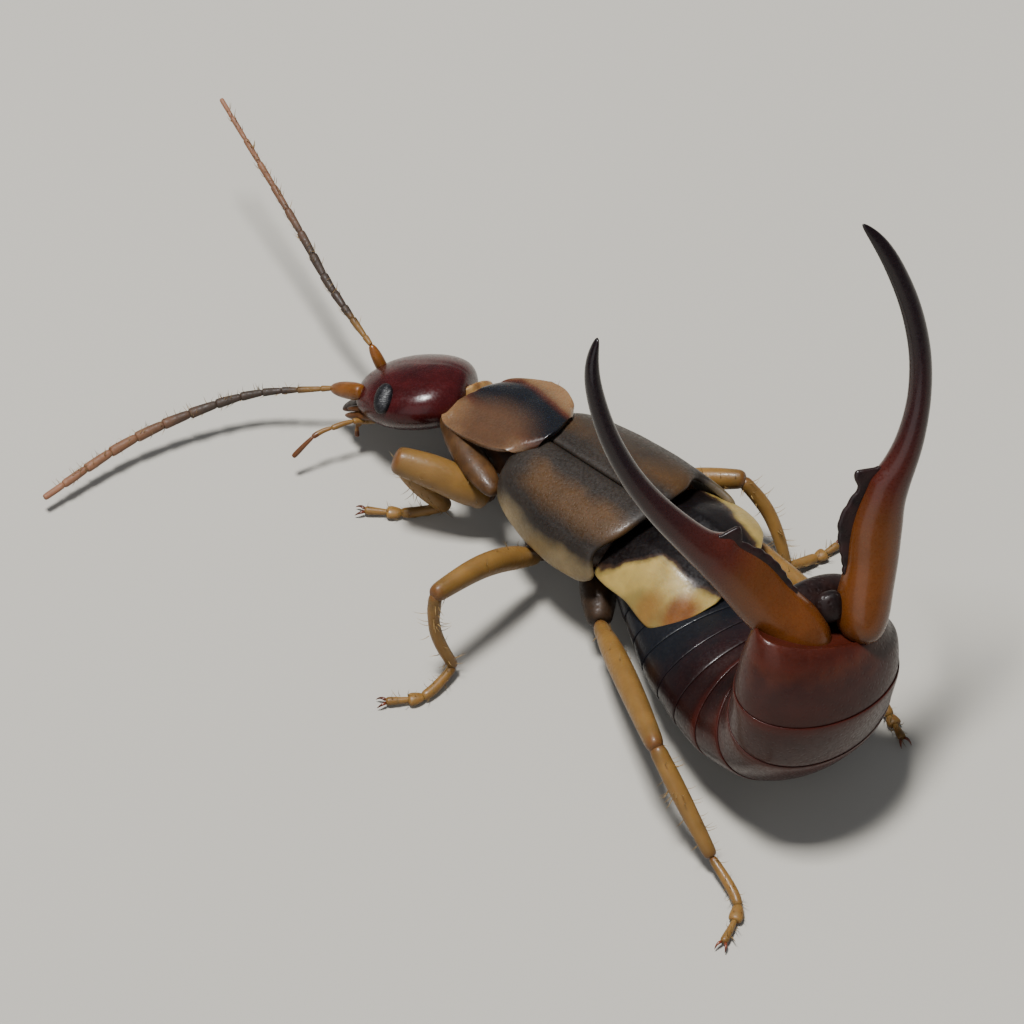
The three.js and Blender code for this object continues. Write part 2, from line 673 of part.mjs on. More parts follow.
const abdomenCurve = new THREE.CatmullRomCurve3( abdomenPath.map( point ), false, 'centripetal' );
const abdomenLength = abdomenCurve.getLength();
const abdomenEdges = [ 0, 0.095, 0.18, 0.265, 0.35, 0.43, 0.512, 0.595, 0.705, 0.80, 1 ];
const abdomenWidths = [ [ 0, 0.66 ], [ 0.12, 0.78 ], [ 0.3, 0.92 ], [ 0.5, 1 ], [ 0.66, 1.03 ],
	[ 0.8, 1.06 ], [ 0.9, 1.03 ], [ 1, 0.88 ] ];
const abdomenBacks = [ [ 0, 0.50 ], [ 0.2, 0.62 ], [ 0.4, 0.80 ], [ 0.66, 0.80 ], [ 0.8, 0.82 ],
	[ 0.88, 0.76 ], [ 1, 0.54 ] ];
const abdomenBellies = [ [ 0, 0.56 ], [ 0.2, 0.78 ], [ 0.4, 0.94 ], [ 0.5, 1.04 ], [ 0.6, 1.28 ],
	[ 0.7, 1.38 ], [ 0.8, 1.28 ], [ 0.9, 1.02 ], [ 1, 0.56 ] ];

// A ring at share t of the length, moved ahead along the path by a distance.
function abdomenRing( t, flare, ahead = 0 ) {

	const centre = abdomenCurve.getPointAt( t );
	const tangent = abdomenCurve.getTangentAt( t );
	centre.addScaledVector( tangent, ahead );
	const across = new THREE.Vector3( 1, 0, 0 ).addScaledVector( tangent, -tangent.x ).normalize();
	const rise = new THREE.Vector3().crossVectors( across, tangent );
	const half = abdomenHalfWidth * along( abdomenWidths, t );
	const reaches = [ half, half, along( abdomenBacks, t ), along( abdomenBellies, t ) ];
	return oval( centre, across, rise, reaches.map( ( reach ) => reach * flare ), 2.25, 24 );

}

function abdomenSegment( number ) {

	const from = abdomenEdges[ number - 1 ] + ( number > 1 ? gap / 2 / abdomenLength : 0 );
	const to = abdomenEdges[ number ] - gap / 2 / abdomenLength;
	const last = number === 10;
	const shares = last ? [ 0, 0.12, 0.35, 0.6, 0.82, 0.94, 1 ] : [ 0, 0.3, 0.85, 1 ];
	const flares = last ? [ 0.93, 0.98, 1, 1, 1, 0.98, 0.92 ] : [ 0.93, 0.975, 1, 0.98 ];
	return body( shares.map( ( share, i ) => abdomenRing( from + ( to - from ) * share, flares[ i ] ) ) );

}

const tipSpaces = sides.map( ( [ , side ] ) => wingTipGeometry( side, gap ) );

for ( let number = 1; number <= 10; number ++ ) {

	const near = number < 6 ? [ metathoraxGeometry( gap ), ...tipSpaces ] : [];
	add( `abdomen_${ number }`, clearOf( abdomenSegment( number ), near ), 'abdomen' );

}

// Forceps: flattened and toothed at the base, then slender and curved in to a point

const forward = point( forcepsForward ).normalize();
const leftward = point( forcepsLeftward ).normalize();
const outOfPlane = new THREE.Vector3().crossVectors( forward, leftward );

function forcepsPoint( [ distance, out ], side ) {

	return point( forcepsRoot ).addScaledVector( forward, distance ).addScaledVector( leftward, out * side );

}

const armDepths = [ [ 0, 0.34 ], [ 1.2, 0.29 ], [ 2.2, 0.22 ], [ 4, 0.18 ], [ 5.4, 0.13 ], [ 6.1, 0.03 ] ];

function forcepsGeometry( name, side ) {

	const rows = forcepsArms[ name ];
	const places = rows.map( ( row ) => forcepsPoint( row, side ) );
	const rings = rows.map( ( [ distance, , half, ridge ], i ) => {

		const before = places[ Math.max( i - 1, 0 ) ];
		const after = places[ Math.min( i + 1, rows.length - 1 ) ];
		const outward = after.clone().sub( before ).cross( outOfPlane ).normalize().multiplyScalar( -side );
		const depth = along( armDepths, distance );
		return oval( places[ i ], outward, outOfPlane, [ half, half + ridge, depth, depth ], 2, 12 );

	} );
	return body( rings );

}

const lastRingSpace = body( [ abdomenRing( 0.9, 1.08 ), abdomenRing( 1, 1.08 ), abdomenRing( 1, 1.04, gap ) ] );

const pygidiumGeometry = ( grow ) => limb(
	[ forcepsPoint( [ -0.1, 0 ], 1 ), forcepsPoint( [ 0.3, 0 ], 1 ) ],
	( t ) => [ 0.24 - 0.06 * t, 0.24 - 0.06 * t, 0.26, 0.24 ],
	{ rise: outOfPlane.toArray(), stations: [ 0, 0.4, 0.8, 1 ], count: 8, power: 2.6, grow },
);

add( 'pygidium', clearOf( pygidiumGeometry( 0 ), [ lastRingSpace ] ), 'abdomen' );

for ( const [ name, side ] of sides ) {

	const neighbours = [ lastRingSpace, pygidiumGeometry( gap ) ];
	add( `forceps_${ name }`, clearOf( forcepsGeometry( name, side ), neighbours ), 'forceps' );

}

// Legs: hip joint, thigh, shin and foot

const longStations = [ 0, 0.05, 0.2, 0.42, 0.65, 0.85, 0.96, 1 ];

// Radius at shares of the length of each piece. The last three are shares of the piece's own radius.
const coxaRadii = [ [ 0, 0.30 ], [ 0.1, 0.34 ], [ 0.5, 0.30 ], [ 0.85, 0.23 ], [ 0.95, 0.24 ], [ 1, 0.16 ] ];
const femurShares = [ [ 0, 0.5 ], [ 0.05, 0.74 ], [ 0.2, 0.96 ], [ 0.42, 1 ], [ 0.65, 0.93 ], [ 0.85, 0.8 ],
	[ 0.96, 0.72 ], [ 1, 0.5 ] ];
const tibiaShares = [ [ 0, 0.7 ], [ 0.05, 1 ], [ 0.2, 1.05 ], [ 0.42, 1 ], [ 0.65, 0.92 ], [ 0.85, 0.88 ],
	[ 0.96, 0.9 ], [ 1, 0.6 ] ];
const tarsusShares = [ [ 0, 0.8 ], [ 0.05, 1 ], [ 0.2, 1 ], [ 0.42, 0.95 ], [ 0.65, 1.05 ], [ 0.85, 0.85 ],
	[ 0.96, 0.8 ], [ 1, 0.5 ] ];
const tarsusRadius = 0.115;

function legPiece( joints, sizes, grow, bow = 0 ) {

	const points = joints.map( point );

	if ( bow !== 0 ) {

		const top = points[ 0 ].clone().lerp( points[ 1 ], 0.5 );
		top.z += bow;
		points.splice( 1, 0, top );

	}

	return limb( points, sizes, { stations: longStations, grow } );

}

function coxaGeometry( leg, grow ) {

	const sizes = ( t ) => round( along( coxaRadii, t ) );
	return legPiece( [ leg.hip, leg.trochanter ], sizes, grow );

}

function femurGeometry( leg, grow ) {

	const sizes = ( t ) => [ 0.84, 0.84, 1, 1 ].map( ( reach ) => reach * leg.femur * along( femurShares, t ) );
	return legPiece( [ leg.trochanter, leg.knee ], sizes, grow, leg.bow );

}

function tibiaGeometry( leg, grow ) {

	const sizes = ( t ) => round( leg.shin * along( tibiaShares, t ) );
	const calf = point( leg.knee ).lerp( point( leg.ankle ), 0.5 ).add( point( leg.lean ) ).toArray();
	return legPiece( [ leg.knee, calf, leg.ankle ], sizes, grow );

}

// The foot lies on the floor: its underside is cut level with z = 0.
function tarsusGeometry( leg, grow ) {

	const sizes = ( t ) => round( tarsusRadius * along( tarsusShares, t ) );
	const geometry = legPiece( [ leg.ankle, leg.heel, leg.toe ], sizes, grow );
	const corners = geometry.attributes.position;

	for ( let i = 0; i < corners.count; i ++ ) corners.setZ( i, Math.max( corners.getZ( i ), 0 ) );

	return geometry;

}

const coverSpaces = sides.map( ( [ , side ] ) => wingCaseGeometry( side, gap ) );
const trunkSpaces = [ ...shieldSpaces, mesothoraxGeometry( gap ), metathoraxGeometry( gap ),
	neckGeometry( gap ), headSpace, ...coverSpaces, ...tipSpaces ];

for ( const [ name, leg ] of Object.entries( legs ) ) {

	add( `${ name }_coxa`, clearOf( coxaGeometry( leg, 0 ), trunkSpaces ), 'leg' );
	const femurSpaces = [ coxaGeometry( leg, gap ), ...trunkSpaces ];
	add( `${ name }_femur`, clearOf( femurGeometry( leg, 0 ), femurSpaces ), 'leg' );
	add( `${ name }_tibia`, clearOf( tibiaGeometry( leg, 0 ), [ femurGeometry( leg, gap ) ] ), 'leg' );
	add( `${ name }_tarsus`, clearOf( tarsusGeometry( leg, 0 ), [ tibiaGeometry( leg, gap ) ] ), 'leg' );

}

// The origin is under the middle of the whole animal, at floor level.

const box = new THREE.Box3().setFromObject( model );
const middle = box.getCenter( new THREE.Vector3() );

for ( const mesh of model.children ) mesh.geometry.translate( -middle.x, -middle.y, 0 );

export default model;
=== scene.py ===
# A male earwig in a threat pose, as a still life-size model.
# The head end points to -Y, the animal's left is +X, and the feet stand on z = 0.

import math
import random

import bmesh
import bpy
from bpy.props import FloatProperty, FloatVectorProperty, PointerProperty
from mathutils import Matrix, Quaternion, Vector


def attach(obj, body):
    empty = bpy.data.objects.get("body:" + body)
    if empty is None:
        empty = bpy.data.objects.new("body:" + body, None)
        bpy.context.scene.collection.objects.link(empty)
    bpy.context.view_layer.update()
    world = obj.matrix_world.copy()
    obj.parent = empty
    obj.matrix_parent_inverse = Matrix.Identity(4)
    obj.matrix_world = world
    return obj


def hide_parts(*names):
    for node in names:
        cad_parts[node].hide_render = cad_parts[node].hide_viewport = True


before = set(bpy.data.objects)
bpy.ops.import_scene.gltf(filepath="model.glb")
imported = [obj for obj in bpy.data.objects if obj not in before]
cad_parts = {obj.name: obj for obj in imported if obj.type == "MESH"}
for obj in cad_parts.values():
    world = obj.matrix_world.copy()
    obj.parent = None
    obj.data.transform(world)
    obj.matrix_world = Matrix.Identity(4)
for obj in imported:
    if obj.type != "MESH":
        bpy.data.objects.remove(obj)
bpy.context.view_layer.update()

bl_info = {
    "name": "Earwig Model",
    "version": (1, 0, 0),
    "blender": (4, 5, 0),
    "location": "3D View > Sidebar > Earwig",
    "description": "Models a life-size male earwig, piece by piece",
    "category": "Add Mesh",
}

MM = 0.001

# The camera's distance and the width that its picture shows there, in millimetres, and its sensor.
CAMERA_DISTANCE = 170
VIEW_WIDTH = 1024 / 60
SENSOR_WIDTH = 36

# The measured places below count from a point beside the animal. The model's middle is here.
MIDDLE = Vector((1.4019, 0.9646, 0.0))

SIDES = (("left", 1), ("right", -1))


def linear(code):
    """The linear colour of an sRGB hex value."""
    parts = [int(code[i:i + 2], 16) / 255 for i in (1, 3, 5)]
    return tuple(c / 12.92 if c <= 0.04045 else ((c + 0.055) / 1.055) ** 2.4 for c in parts)


# ---------------------------------------------------------------- measured places, in millimetres

# Each part with axes of its own has a place, and the degrees that it pitches, rolls and yaws.
HEAD_PLACE = ((0.41, -1.68, 1.17), 26, -15, 31)
HEAD_REAR = 0.97
HEAD_LENGTH = 1.95
HEAD_FRONT = HEAD_REAR - HEAD_LENGTH
HEAD_HALF = 1.02
HEAD_TALL = 0.54
# Where the feelers are rooted, in the head's own axes.
SOCKETS = {"left": (0.45, -0.80, 0.15), "right": (-0.42, -0.70, 0.18)}
# The eyes' radii, middles, and the degrees that each leans inward at the top, along the rounded cheek.
EYE_RADII = (0.11, 0.165, 0.265)
EYES = {"left": ((0.845, -0.313, 0.2), -40), "right": ((-0.84, -0.36, -0.06), 0)}
LONG_PALPS = {
    "left": [(0.30, -0.70, -0.43), (0.48, -0.993, -0.358), (0.58, -1.138, -0.355), (0.68, -1.286, -0.387),
             (0.78, -1.488, -0.42), (0.88, -1.624, -0.489), (1.0, -1.978, -0.804)],
    "right": [(-0.50, -0.72, -0.40), (-0.60, -0.96, -0.40), (-0.56, -1.24, -0.34), (-0.44, -1.46, -0.26)],
}

PRONOTUM_PLACE = ((-0.10, 0.92, 2.24), 20, 2, 6)
PRONOTUM_LENGTH = 1.74
PRONOTUM_HALF = 0.89
# The edge of the dark disc, in the pronotum's own axes.
DISC_EDGE = [(-0.03, -1.64), (-0.26, -1.66), (-0.47, -1.52), (-0.62, -1.23), (-0.58, -0.83), (-0.45, -0.40),
             (-0.36, -0.05), (-0.28, 0.38), (0.20, 0.35), (0.31, 0.09), (0.24, -0.35), (0.15, -0.82),
             (0.09, -1.20)]

WING_CASE_PLACE = ((0.0, 0.82, 2.16), 8.5, 0, 4.5)
WING_CASE_LENGTH = 2.88
WING_CASE_HALF = 1.44
# Half width of the two wing cases and how far their sides come down, along their length.
WING_CASE_WIDTHS = [(0, 0.70), (0.06, 0.76), (0.2, 0.86), (0.42, 0.95), (0.7, 1), (1, 0.98)]
WING_CASE_DROPS = [(0, 0.74), (0.4, 0.92), (0.75, 1.02), (1, 1.02)]
WING_CASE_DROP = WING_CASE_HALF * 0.72
# How far the wing case's rear edge stands back, from the middle line to the side.
REAR_EDGE = {
    "left": [(0, 0), (0.3, 0.10), (0.45, 0.24), (0.6, 0.36), (0.75, 0.33), (0.88, 0.26), (0.95, 0.36),
             (1, 0.62)],
    "right": [(0, 0), (0.3, 0.06), (0.45, 0.2), (0.6, 0.24), (0.72, 0), (0.85, -0.36), (0.95, -0.3),
              (1, 0)],
}

ABDOMEN_PATH = [(-0.15, 3.98, 1.46), (0.05, 5.00, 1.46), (0.28, 6.00, 1.46), (0.40, 7.00, 1.56),
                (0.38, 7.64, 1.98), (0.34, 7.90, 2.70), (0.18, 7.92, 3.46), (-0.02, 7.88, 4.16)]
ABDOMEN_HALF = 1.50
ABDOMEN_EDGES = [0, 0.095, 0.18, 0.265, 0.35, 0.43, 0.512, 0.595, 0.705, 0.80, 1]
ABDOMEN_WIDTHS = [(0, 0.66), (0.12, 0.78), (0.3, 0.92), (0.5, 1), (0.66, 1.03), (0.8, 1.06), (0.9, 1.03),
                  (1, 0.88)]
ABDOMEN_BACKS = [(0, 0.40), (0.2, 0.48), (0.28, 0.58), (0.4, 0.80), (0.66, 0.80), (0.8, 0.82), (0.88, 0.76),
                 (1, 0.54)]
ABDOMEN_BELLIES = [(0, 0.56), (0.2, 0.78), (0.4, 0.94), (0.5, 1.04), (0.6, 1.28), (0.7, 1.38), (0.8, 1.28),
                   (0.9, 1.02), (1, 0.56)]

FORCEPS_ROOT = Vector((-0.09, 7.94, 4.40))
FORCEPS_FORWARD = Vector((-0.067, -0.439, 0.896)).normalized()
FORCEPS_LEFTWARD = Vector((0.951, -0.299, -0.075)).normalized()
FORCEPS_ACROSS = FORCEPS_FORWARD.cross(FORCEPS_LEFTWARD)

# Distance along the forceps, distance out from the middle, half width, and reach of the toothed ridge.
FORCEPS_ARMS = {
    "left": [(-0.9, 0.5, 0.42, 0), (-0.5, 0.58, 0.54, 0), (-0.1, 0.76, 0.48, 0.02), (0.25, 1, 0.435, 0.1),
             (0.5, 1.13, 0.425, 0.17), (0.75, 1.25, 0.405, 0.22), (1, 1.385, 0.38, 0.22),
             (1.2, 1.5, 0.355, 0.17), (1.34, 1.585, 0.34, 0.16), (1.42, 1.63, 0.33, 0.29),
             (1.5, 1.68, 0.32, 0.36), (1.63, 1.765, 0.305, 0.06), (1.84, 1.89, 0.28, 0),
             (2.35, 2.19, 0.24, 0), (2.8, 2.41, 0.21, 0), (3.26, 2.59, 0.19, 0), (3.67, 2.7, 0.175, 0),
             (4.07, 2.78, 0.165, 0), (4.45, 2.82, 0.155, 0), (4.82, 2.83, 0.145, 0), (5.22, 2.81, 0.13, 0),
             (5.58, 2.71, 0.1, 0), (5.86, 2.54, 0.03, 0)],
    "right": [(-0.9, 0.34, 0.34, 0), (-0.5, 0.48, 0.46, 0), (-0.1, 0.64, 0.45, 0), (0.25, 0.84, 0.42, 0.08),
              (0.5, 0.94, 0.42, 0.17), (0.75, 1.04, 0.41, 0.26), (0.95, 1.13, 0.4, 0.31),
              (1.1, 1.2, 0.38, 0.28),
              (1.25, 1.28, 0.36, 0.22), (1.38, 1.36, 0.34, 0.18), (1.46, 1.42, 0.33, 0.31),
              (1.54, 1.48, 0.32, 0.39), (1.67, 1.59, 0.29, 0.08), (1.85, 1.74, 0.265, 0),
              (2.1, 1.93, 0.235, 0), (2.44, 2.12, 0.21, 0), (2.8, 2.28, 0.19, 0), (3.2, 2.4, 0.185, 0),
              (3.6, 2.48, 0.18, 0), (4.05, 2.51, 0.175, 0), (4.5, 2.5, 0.17, 0),
              (4.95, 2.44, 0.16, 0), (5.4, 2.35, 0.145, 0), (5.78, 2.22, 0.11, 0),
              (6.08, 2.06, 0.03, 0)],
}
# How far the arms sink below their line, and their half depth, at distances along the forceps.
ARM_SINKS = [(-0.9, 0.10), (-0.5, 0.02), (-0.1, 0)]
ARM_DEPTHS = [(-0.5, 0.50), (-0.1, 0.41), (0.3, 0.34), (1.2, 0.29), (2.2, 0.22), (4, 0.18), (5.4, 0.13),
              (6.1, 0.03)]

# Hip, trochanter, knee, ankle, heel and toe of each leg, the radii of thigh and shin, how far the shin's
# middle stands out, and the thigh's bow.
LEGS = {
    "front_left": ((0.42, -0.42, 0.98), (0.88, 0.66, 0.84), (1.80, -0.50, 1.53), (1.16, -0.06, 0.22),
                   (1.64, -0.42, 0.11), (2.26, -1.04, 0.10), 0.35, 0.19, (0.05, 0.02, 0), 0.12),
    "front_right": ((-0.44, -0.36, 0.92), (-0.78, 0.66, 0.78), (-1.18, -0.26, 1.28), (-1.30, 0.30, 0.22),
                    (-1.36, -0.10, 0.11), (-1.50, -0.62, 0.10), 0.28, 0.17, (0, 0, 0), 0.04),
    "middle_left": ((0.50, 1.70, 0.90), (1.02, 2.12, 0.86), (3.33, 2.24, 1.86), (3.25, 2.60, 0.22),
                    (3.94, 2.69, 0.11), (4.60, 2.30, 0.10), 0.24, 0.125, (0.14, -0.10, 0), 0.30),
    "middle_right": ((-0.62, 1.70, 0.90), (-1.10, 2.14, 0.86), (-2.27, 3.46, 1.50), (-2.30, 4.59, 0.22),
                     (-2.92, 4.70, 0.11), (-3.40, 4.72, 0.10), 0.24, 0.13, (-0.18, -0.04, 0.02), 0.15),
    "hind_left": ((0.55, 3.10, 0.98), (1.22, 3.90, 0.92), (2.60, 6.87, 1.76), (2.68, 8.38, 0.36),
                  (2.88, 9.25, 0.13), (3.66, 9.72, 0.10), 0.25, 0.16, (0, 0, 0), 0.08),
    "hind_right": ((-0.75, 3.10, 0.98), (-1.62, 3.42, 0.98), (-1.51, 6.10, 1.55), (-1.66, 7.42, 0.36),
                   (-1.56, 7.98, 0.13), (-1.40, 8.52, 0.10), 0.24, 0.15, (0, 0, 0), 0),
}

# The three joints of a foot: start and end on the foot, width and height, and their shape along the joint.
FOOT_JOINTS = (
    (0.0, 0.52, 0.92, 0.92, ((0, 0.55), (0.06, 0.8), (0.3, 0.86), (0.7, 0.94), (0.93, 0.96), (1, 0.6))),
    (0.50, 0.68, 1.12, 0.80, ((0, 0.5), (0.15, 0.74), (0.5, 0.98), (0.8, 1.05), (0.95, 0.9), (1, 0.5))),
    (0.64, 0.93, 0.66, 0.66, ((0, 0.5), (0.1, 0.72), (0.5, 0.86), (0.85, 1.1), (0.96, 0.95), (1, 0.5))),
)

FEELERS = {
    "left": [(1.34, -2.80, 0.94), (1.53, -2.96, 0.92), (2.34, -3.64, 0.80),
             (3.33, -4.08, 0.67), (4.47, -4.37, 0.54), (6.20, -4.47, 0.35)],
    "right": [(0.46, -2.83, 1.36), (0.42, -3.21, 1.45), (0.31, -4.10, 1.67),
              (0.08, -5.10, 1.92), (-0.13, -6.19, 2.20), (-0.44, -7.82, 2.60)],
}
# Where the feeler's joints meet, and how thick it is, at shares of its length.
FEELER_JOINTS = [0, 0.035, 0.11, 0.16, 0.22, 0.29, 0.37, 0.46, 0.55, 0.645, 0.74, 0.835, 0.925, 1]
FEELER_THICKNESS = {
    "left": [(0, 0.55), (0.1, 0.6), (0.25, 0.78), (0.4, 0.93), (0.55, 1), (0.75, 0.95), (0.9, 0.8),
             (1, 0.58)],
    "right": [(0, 0.53), (0.15, 0.77), (0.35, 0.84), (0.55, 0.70), (0.75, 0.58), (1, 0.42)],
}


# ---------------------------------------------------------------- sizes and colours for the user

def length(name, text, mm):
    """A length that the user can change, in millimetres here and in metres in Blender."""
    return FloatProperty(name=name, description=text, default=mm * MM, min=0, unit="LENGTH", precision=6)


def colour(name, text, code):
    """A colour that the user can change."""
    return FloatVectorProperty(name=name, description=text, default=linear(code), size=3,
                               min=0, max=1, subtype="COLOR")


class EarwigSizes(bpy.types.PropertyGroup):
    """Sizes of the fine parts."""
    feeler_radius: length("Feeler radius", "Radius of a feeler at its thickest", 0.095)
    foot_radius: length("Foot radius", "Radius of the first joint of a foot", 0.105)
    claw_radius: length("Claw radius", "Radius of a claw at its base", 0.03)
    hair_radius: length("Hair radius", "Radius of a hair at its root", 0.007)
    ring_lip: length("Ring lip", "How far the rear edge of each abdomen ring stands over the next", 0.034)
    disc_sulcus: length("Pronotum furrow", "Depth of the furrow along the pronotum's middle", 0.03)


class EarwigColours(bpy.types.PropertyGroup):
    """Colours of the finishes."""
    head: colour("Head", "Dark red-brown of the head", "#330c0d")
    face: colour("Face", "Brown of the face and the mouth", "#513016")
    pale: colour("Pale margin", "Pale tan of the pronotum's margins", "#765a3e")
    disc: colour("Disc", "Blue-black of the pronotum's disc", "#0e0f13")
    case: colour("Wing case", "Grey-brown of the wing cases", "#27201a")
    case_band: colour("Wing case band", "Orange-brown band of the wing cases", "#412b12")
    cream: colour("Wing tip", "Cream of the wing tips", "#927c44")
    belly: colour("Rings", "Red-brown of the abdomen rings", "#2e0f0a")
    base: colour("First rings", "Blue-black of the abdomen's base", "#101115")
    amber: colour("Forceps base", "Amber of the forceps' base", "#5a300f")
    tip: colour("Forceps tip", "Dark red of the forceps' tips", "#15080b")
    leg: colour("Leg", "Yellow-tan of the legs", "#745528")
    joint: colour("Leg joint", "Brown of the leg joints", "#5a3818")
    feeler: colour("Feeler", "Grey-brown of the feelers", "#362b23")


# ---------------------------------------------------------------- placing and shaping by hand

def at(x, y, z):
    """A measured place in millimetres as a point of the frame, in metres."""
    return (Vector((x, y, z)) - MIDDLE) * MM


def placed(place, pitch, roll, yaw):
    """The matrix of a part's own axes, which measure in millimetres."""
    turned = Matrix.Translation(at(*place))
    for angle, axis in ((roll, "Y"), (pitch, "X"), (yaw, "Z")):
        turned = turned @ Matrix.Rotation(math.radians(angle), 4, axis)
    return turned @ Matrix.Scale(MM, 4)


HEAD = placed(*HEAD_PLACE)
PRONOTUM = placed(*PRONOTUM_PLACE)
WING_CASE = placed(*WING_CASE_PLACE)


def read(pairs, place):
    """A value read from pairs of place and value, straight between them."""
    if place <= pairs[0][0]:
        return pairs[0][1]
    for (a, low), (b, high) in zip(pairs, pairs[1:]):
        if place <= b:
            return low + (high - low) * (place - a) / (b - a)
    return pairs[-1][1]


def smooth_path(points, count=240):
    """Points evenly along a smooth curve through the given ones."""
    pts = [Vector(p) for p in points]
    pts = [2 * pts[0] - pts[1]] + pts + [2 * pts[-1] - pts[-2]]
    fine = []
    for p0, p1, p2, p3 in zip(pts, pts[1:], pts[2:], pts[3:]):
        d0, d1, d2 = ((b - a).length ** 0.5 for a, b in ((p0, p1), (p1, p2), (p2, p3)))
        m1 = ((p1 - p0) / d0 - (p2 - p0) / (d0 + d1) + (p2 - p1) / d1) * d1
        m2 = ((p2 - p1) / d1 - (p3 - p1) / (d1 + d2) + (p3 - p2) / d2) * d1
        for i in range(60):
            t = i / 60
            fine.append(p1 + m1 * t + (3 * (p2 - p1) - 2 * m1 - m2) * t ** 2
                        + (2 * (p1 - p2) + m1 + m2) * t ** 3)
    fine.append(pts[-2])
    steps = [0.0]
    for a, b in zip(fine, fine[1:]):
        steps.append(steps[-1] + (b - a).length)
    even, j = [], 0
    for i in range(count + 1):
        want = steps[-1] * i / count
        while j < len(steps) - 2 and steps[j + 1] < want:
            j += 1
        span = max(steps[j + 1] - steps[j], 1e-12)
        even.append(fine[j].lerp(fine[j + 1], min((want - steps[j]) / span, 1)))
    return even


def curve(pairs):
    """Pairs of place and value along a smooth curve through the given ones."""
    return [(p.x, p.y) for p in smooth_path([(a, b, 0) for a, b in pairs], 60)]


def on_path(path, share):
    """The place and the way on at a share of a path's length."""
    spot = min(max(share, 0), 1) * (len(path) - 1)
    i = min(int(spot), len(path) - 2)
    a, b = max(i - 1, 0), min(i + 2, len(path) - 1)
    return path[i].lerp(path[i + 1], spot - i), (path[b] - path[a]).normalized()


def start_clean():
    """Leave edit mode with nothing selected."""
    if bpy.context.mode != "OBJECT":
        bpy.ops.object.mode_set(mode="OBJECT")
    bpy.ops.object.select_all(action="DESELECT")


def turn(rotation, centre):
    """Turn what is selected. With no window the tool turns the other way, so each angle is negative."""
    for axis, angle in zip("XYZ", rotation.to_euler("XYZ")):
        if abs(angle) > 1e-6:
            bpy.ops.transform.rotate(value=-angle, orient_axis=axis, center_override=centre)


def station_turn(way, up):
    """The rotation of a section that faces along the way on."""
    way = way.normalized()
    side = up.cross(way).normalized()
    return Matrix((side, way.cross(side), way)).transposed()


def grow(name, stations, corners=12, plump=True):
    """Model a long body from one filled circle, extruded from station to station.
    A station is its place, the way on, the way up, its half width and its half height, in metres."""
    if plump:
        full = 1 / (2 / 3 + math.cos(math.tau / corners) / 3)
        stations = [(c, w, u, h * full, t * full) for c, w, u, h, t in stations]
    start_clean()
    centre, way, up, half, tall = stations[0]
    section = station_turn(way, up)
    bpy.ops.mesh.primitive_circle_add(vertices=corners, radius=half, fill_type="NGON",
                                      location=centre, rotation=section.to_euler())
    piece = bpy.context.active_object
    piece.name = name
    piece.scale.y = tall / half
    bpy.ops.object.transform_apply(location=True, rotation=True, scale=True)
    bpy.ops.object.mode_set(mode="EDIT")
    bpy.ops.mesh.select_all(action="SELECT")
    for next_centre, way, up, next_half, next_tall in stations[1:]:
        bpy.ops.mesh.extrude_region_move(TRANSFORM_OT_translate={"value": next_centre - centre})
        turn(section.transposed(), next_centre)
        bpy.ops.transform.resize(value=(next_half / half, next_tall / tall, 1), center_override=next_centre)
        section = station_turn(way, up)
        turn(section, next_centre)
        centre, half, tall = next_centre, next_half, next_tall
    bpy.ops.mesh.select_all(action="SELECT")
    bpy.ops.mesh.normals_make_consistent(inside=False)
    bpy.ops.object.mode_set(mode="OBJECT")
    return piece


def limb(name, path, sizes, corners=12, up=(0, 0, 1), levels=2):
    """A smooth body along a path in millimetres. sizes is rows of share, half width and, where it
    differs, half height."""
    rows = []
    for share, half, *tall in sizes:
        centre, way = on_path(path, share)
        rows.append((at(*centre), way, Vector(up), half * MM, (*tall, half)[0] * MM))
    return smooth(grow(name, rows, corners), levels)


def own(matrix, *point):
    """A point in a part's own axes as a measured place."""
    return matrix @ Vector(point) / MM + MIDDLE


def plate(name, columns, rows, spot, thick, levels=1):
    """Model a plate from a grid whose points are each moved to their spot, then thickened and smoothed."""
    start_clean()
    bpy.ops.mesh.primitive_grid_add(x_subdivisions=columns, y_subdivisions=rows, size=2 * MM)
    piece = bpy.context.active_object
    piece.name = name
    bpy.ops.object.mode_set(mode="EDIT")
    bpy.ops.mesh.select_all(action="DESELECT")
    mesh = bmesh.from_edit_mesh(piece.data)
    for i in range(len(mesh.verts)):
        mesh = bmesh.from_edit_mesh(piece.data)
        mesh.verts.ensure_lookup_table()
        corner = mesh.verts[i]
        corner.select = True
        across = corner.co.x / MM / 2 + 0.5
        down = corner.co.y / MM / 2 + 0.5
        bpy.ops.transform.translate(value=spot(across, down) - corner.co)
        bmesh.from_edit_mesh(piece.data).verts.ensure_lookup_table()
        bmesh.from_edit_mesh(piece.data).verts[i].select = False
    bpy.ops.object.mode_set(mode="OBJECT")
    wall = piece.modifiers.new("Wall", "SOLIDIFY")
    wall.thickness = thick * MM
    wall.offset = -1
    wall.use_even_offset = False
    bpy.ops.object.modifier_apply(modifier="Wall")
    return smooth(piece, levels)


def smooth(piece, levels=2):
    """Subdivide a piece and shade it smooth."""
    start_clean()
    piece.select_set(True)
    bpy.context.view_layer.objects.active = piece
    if levels:
        skin = piece.modifiers.new("Skin", "SUBSURF")
        skin.levels = levels
        skin.render_levels = levels
        bpy.ops.object.modifier_apply(modifier="Skin")
    bpy.ops.object.shade_smooth()
    return piece


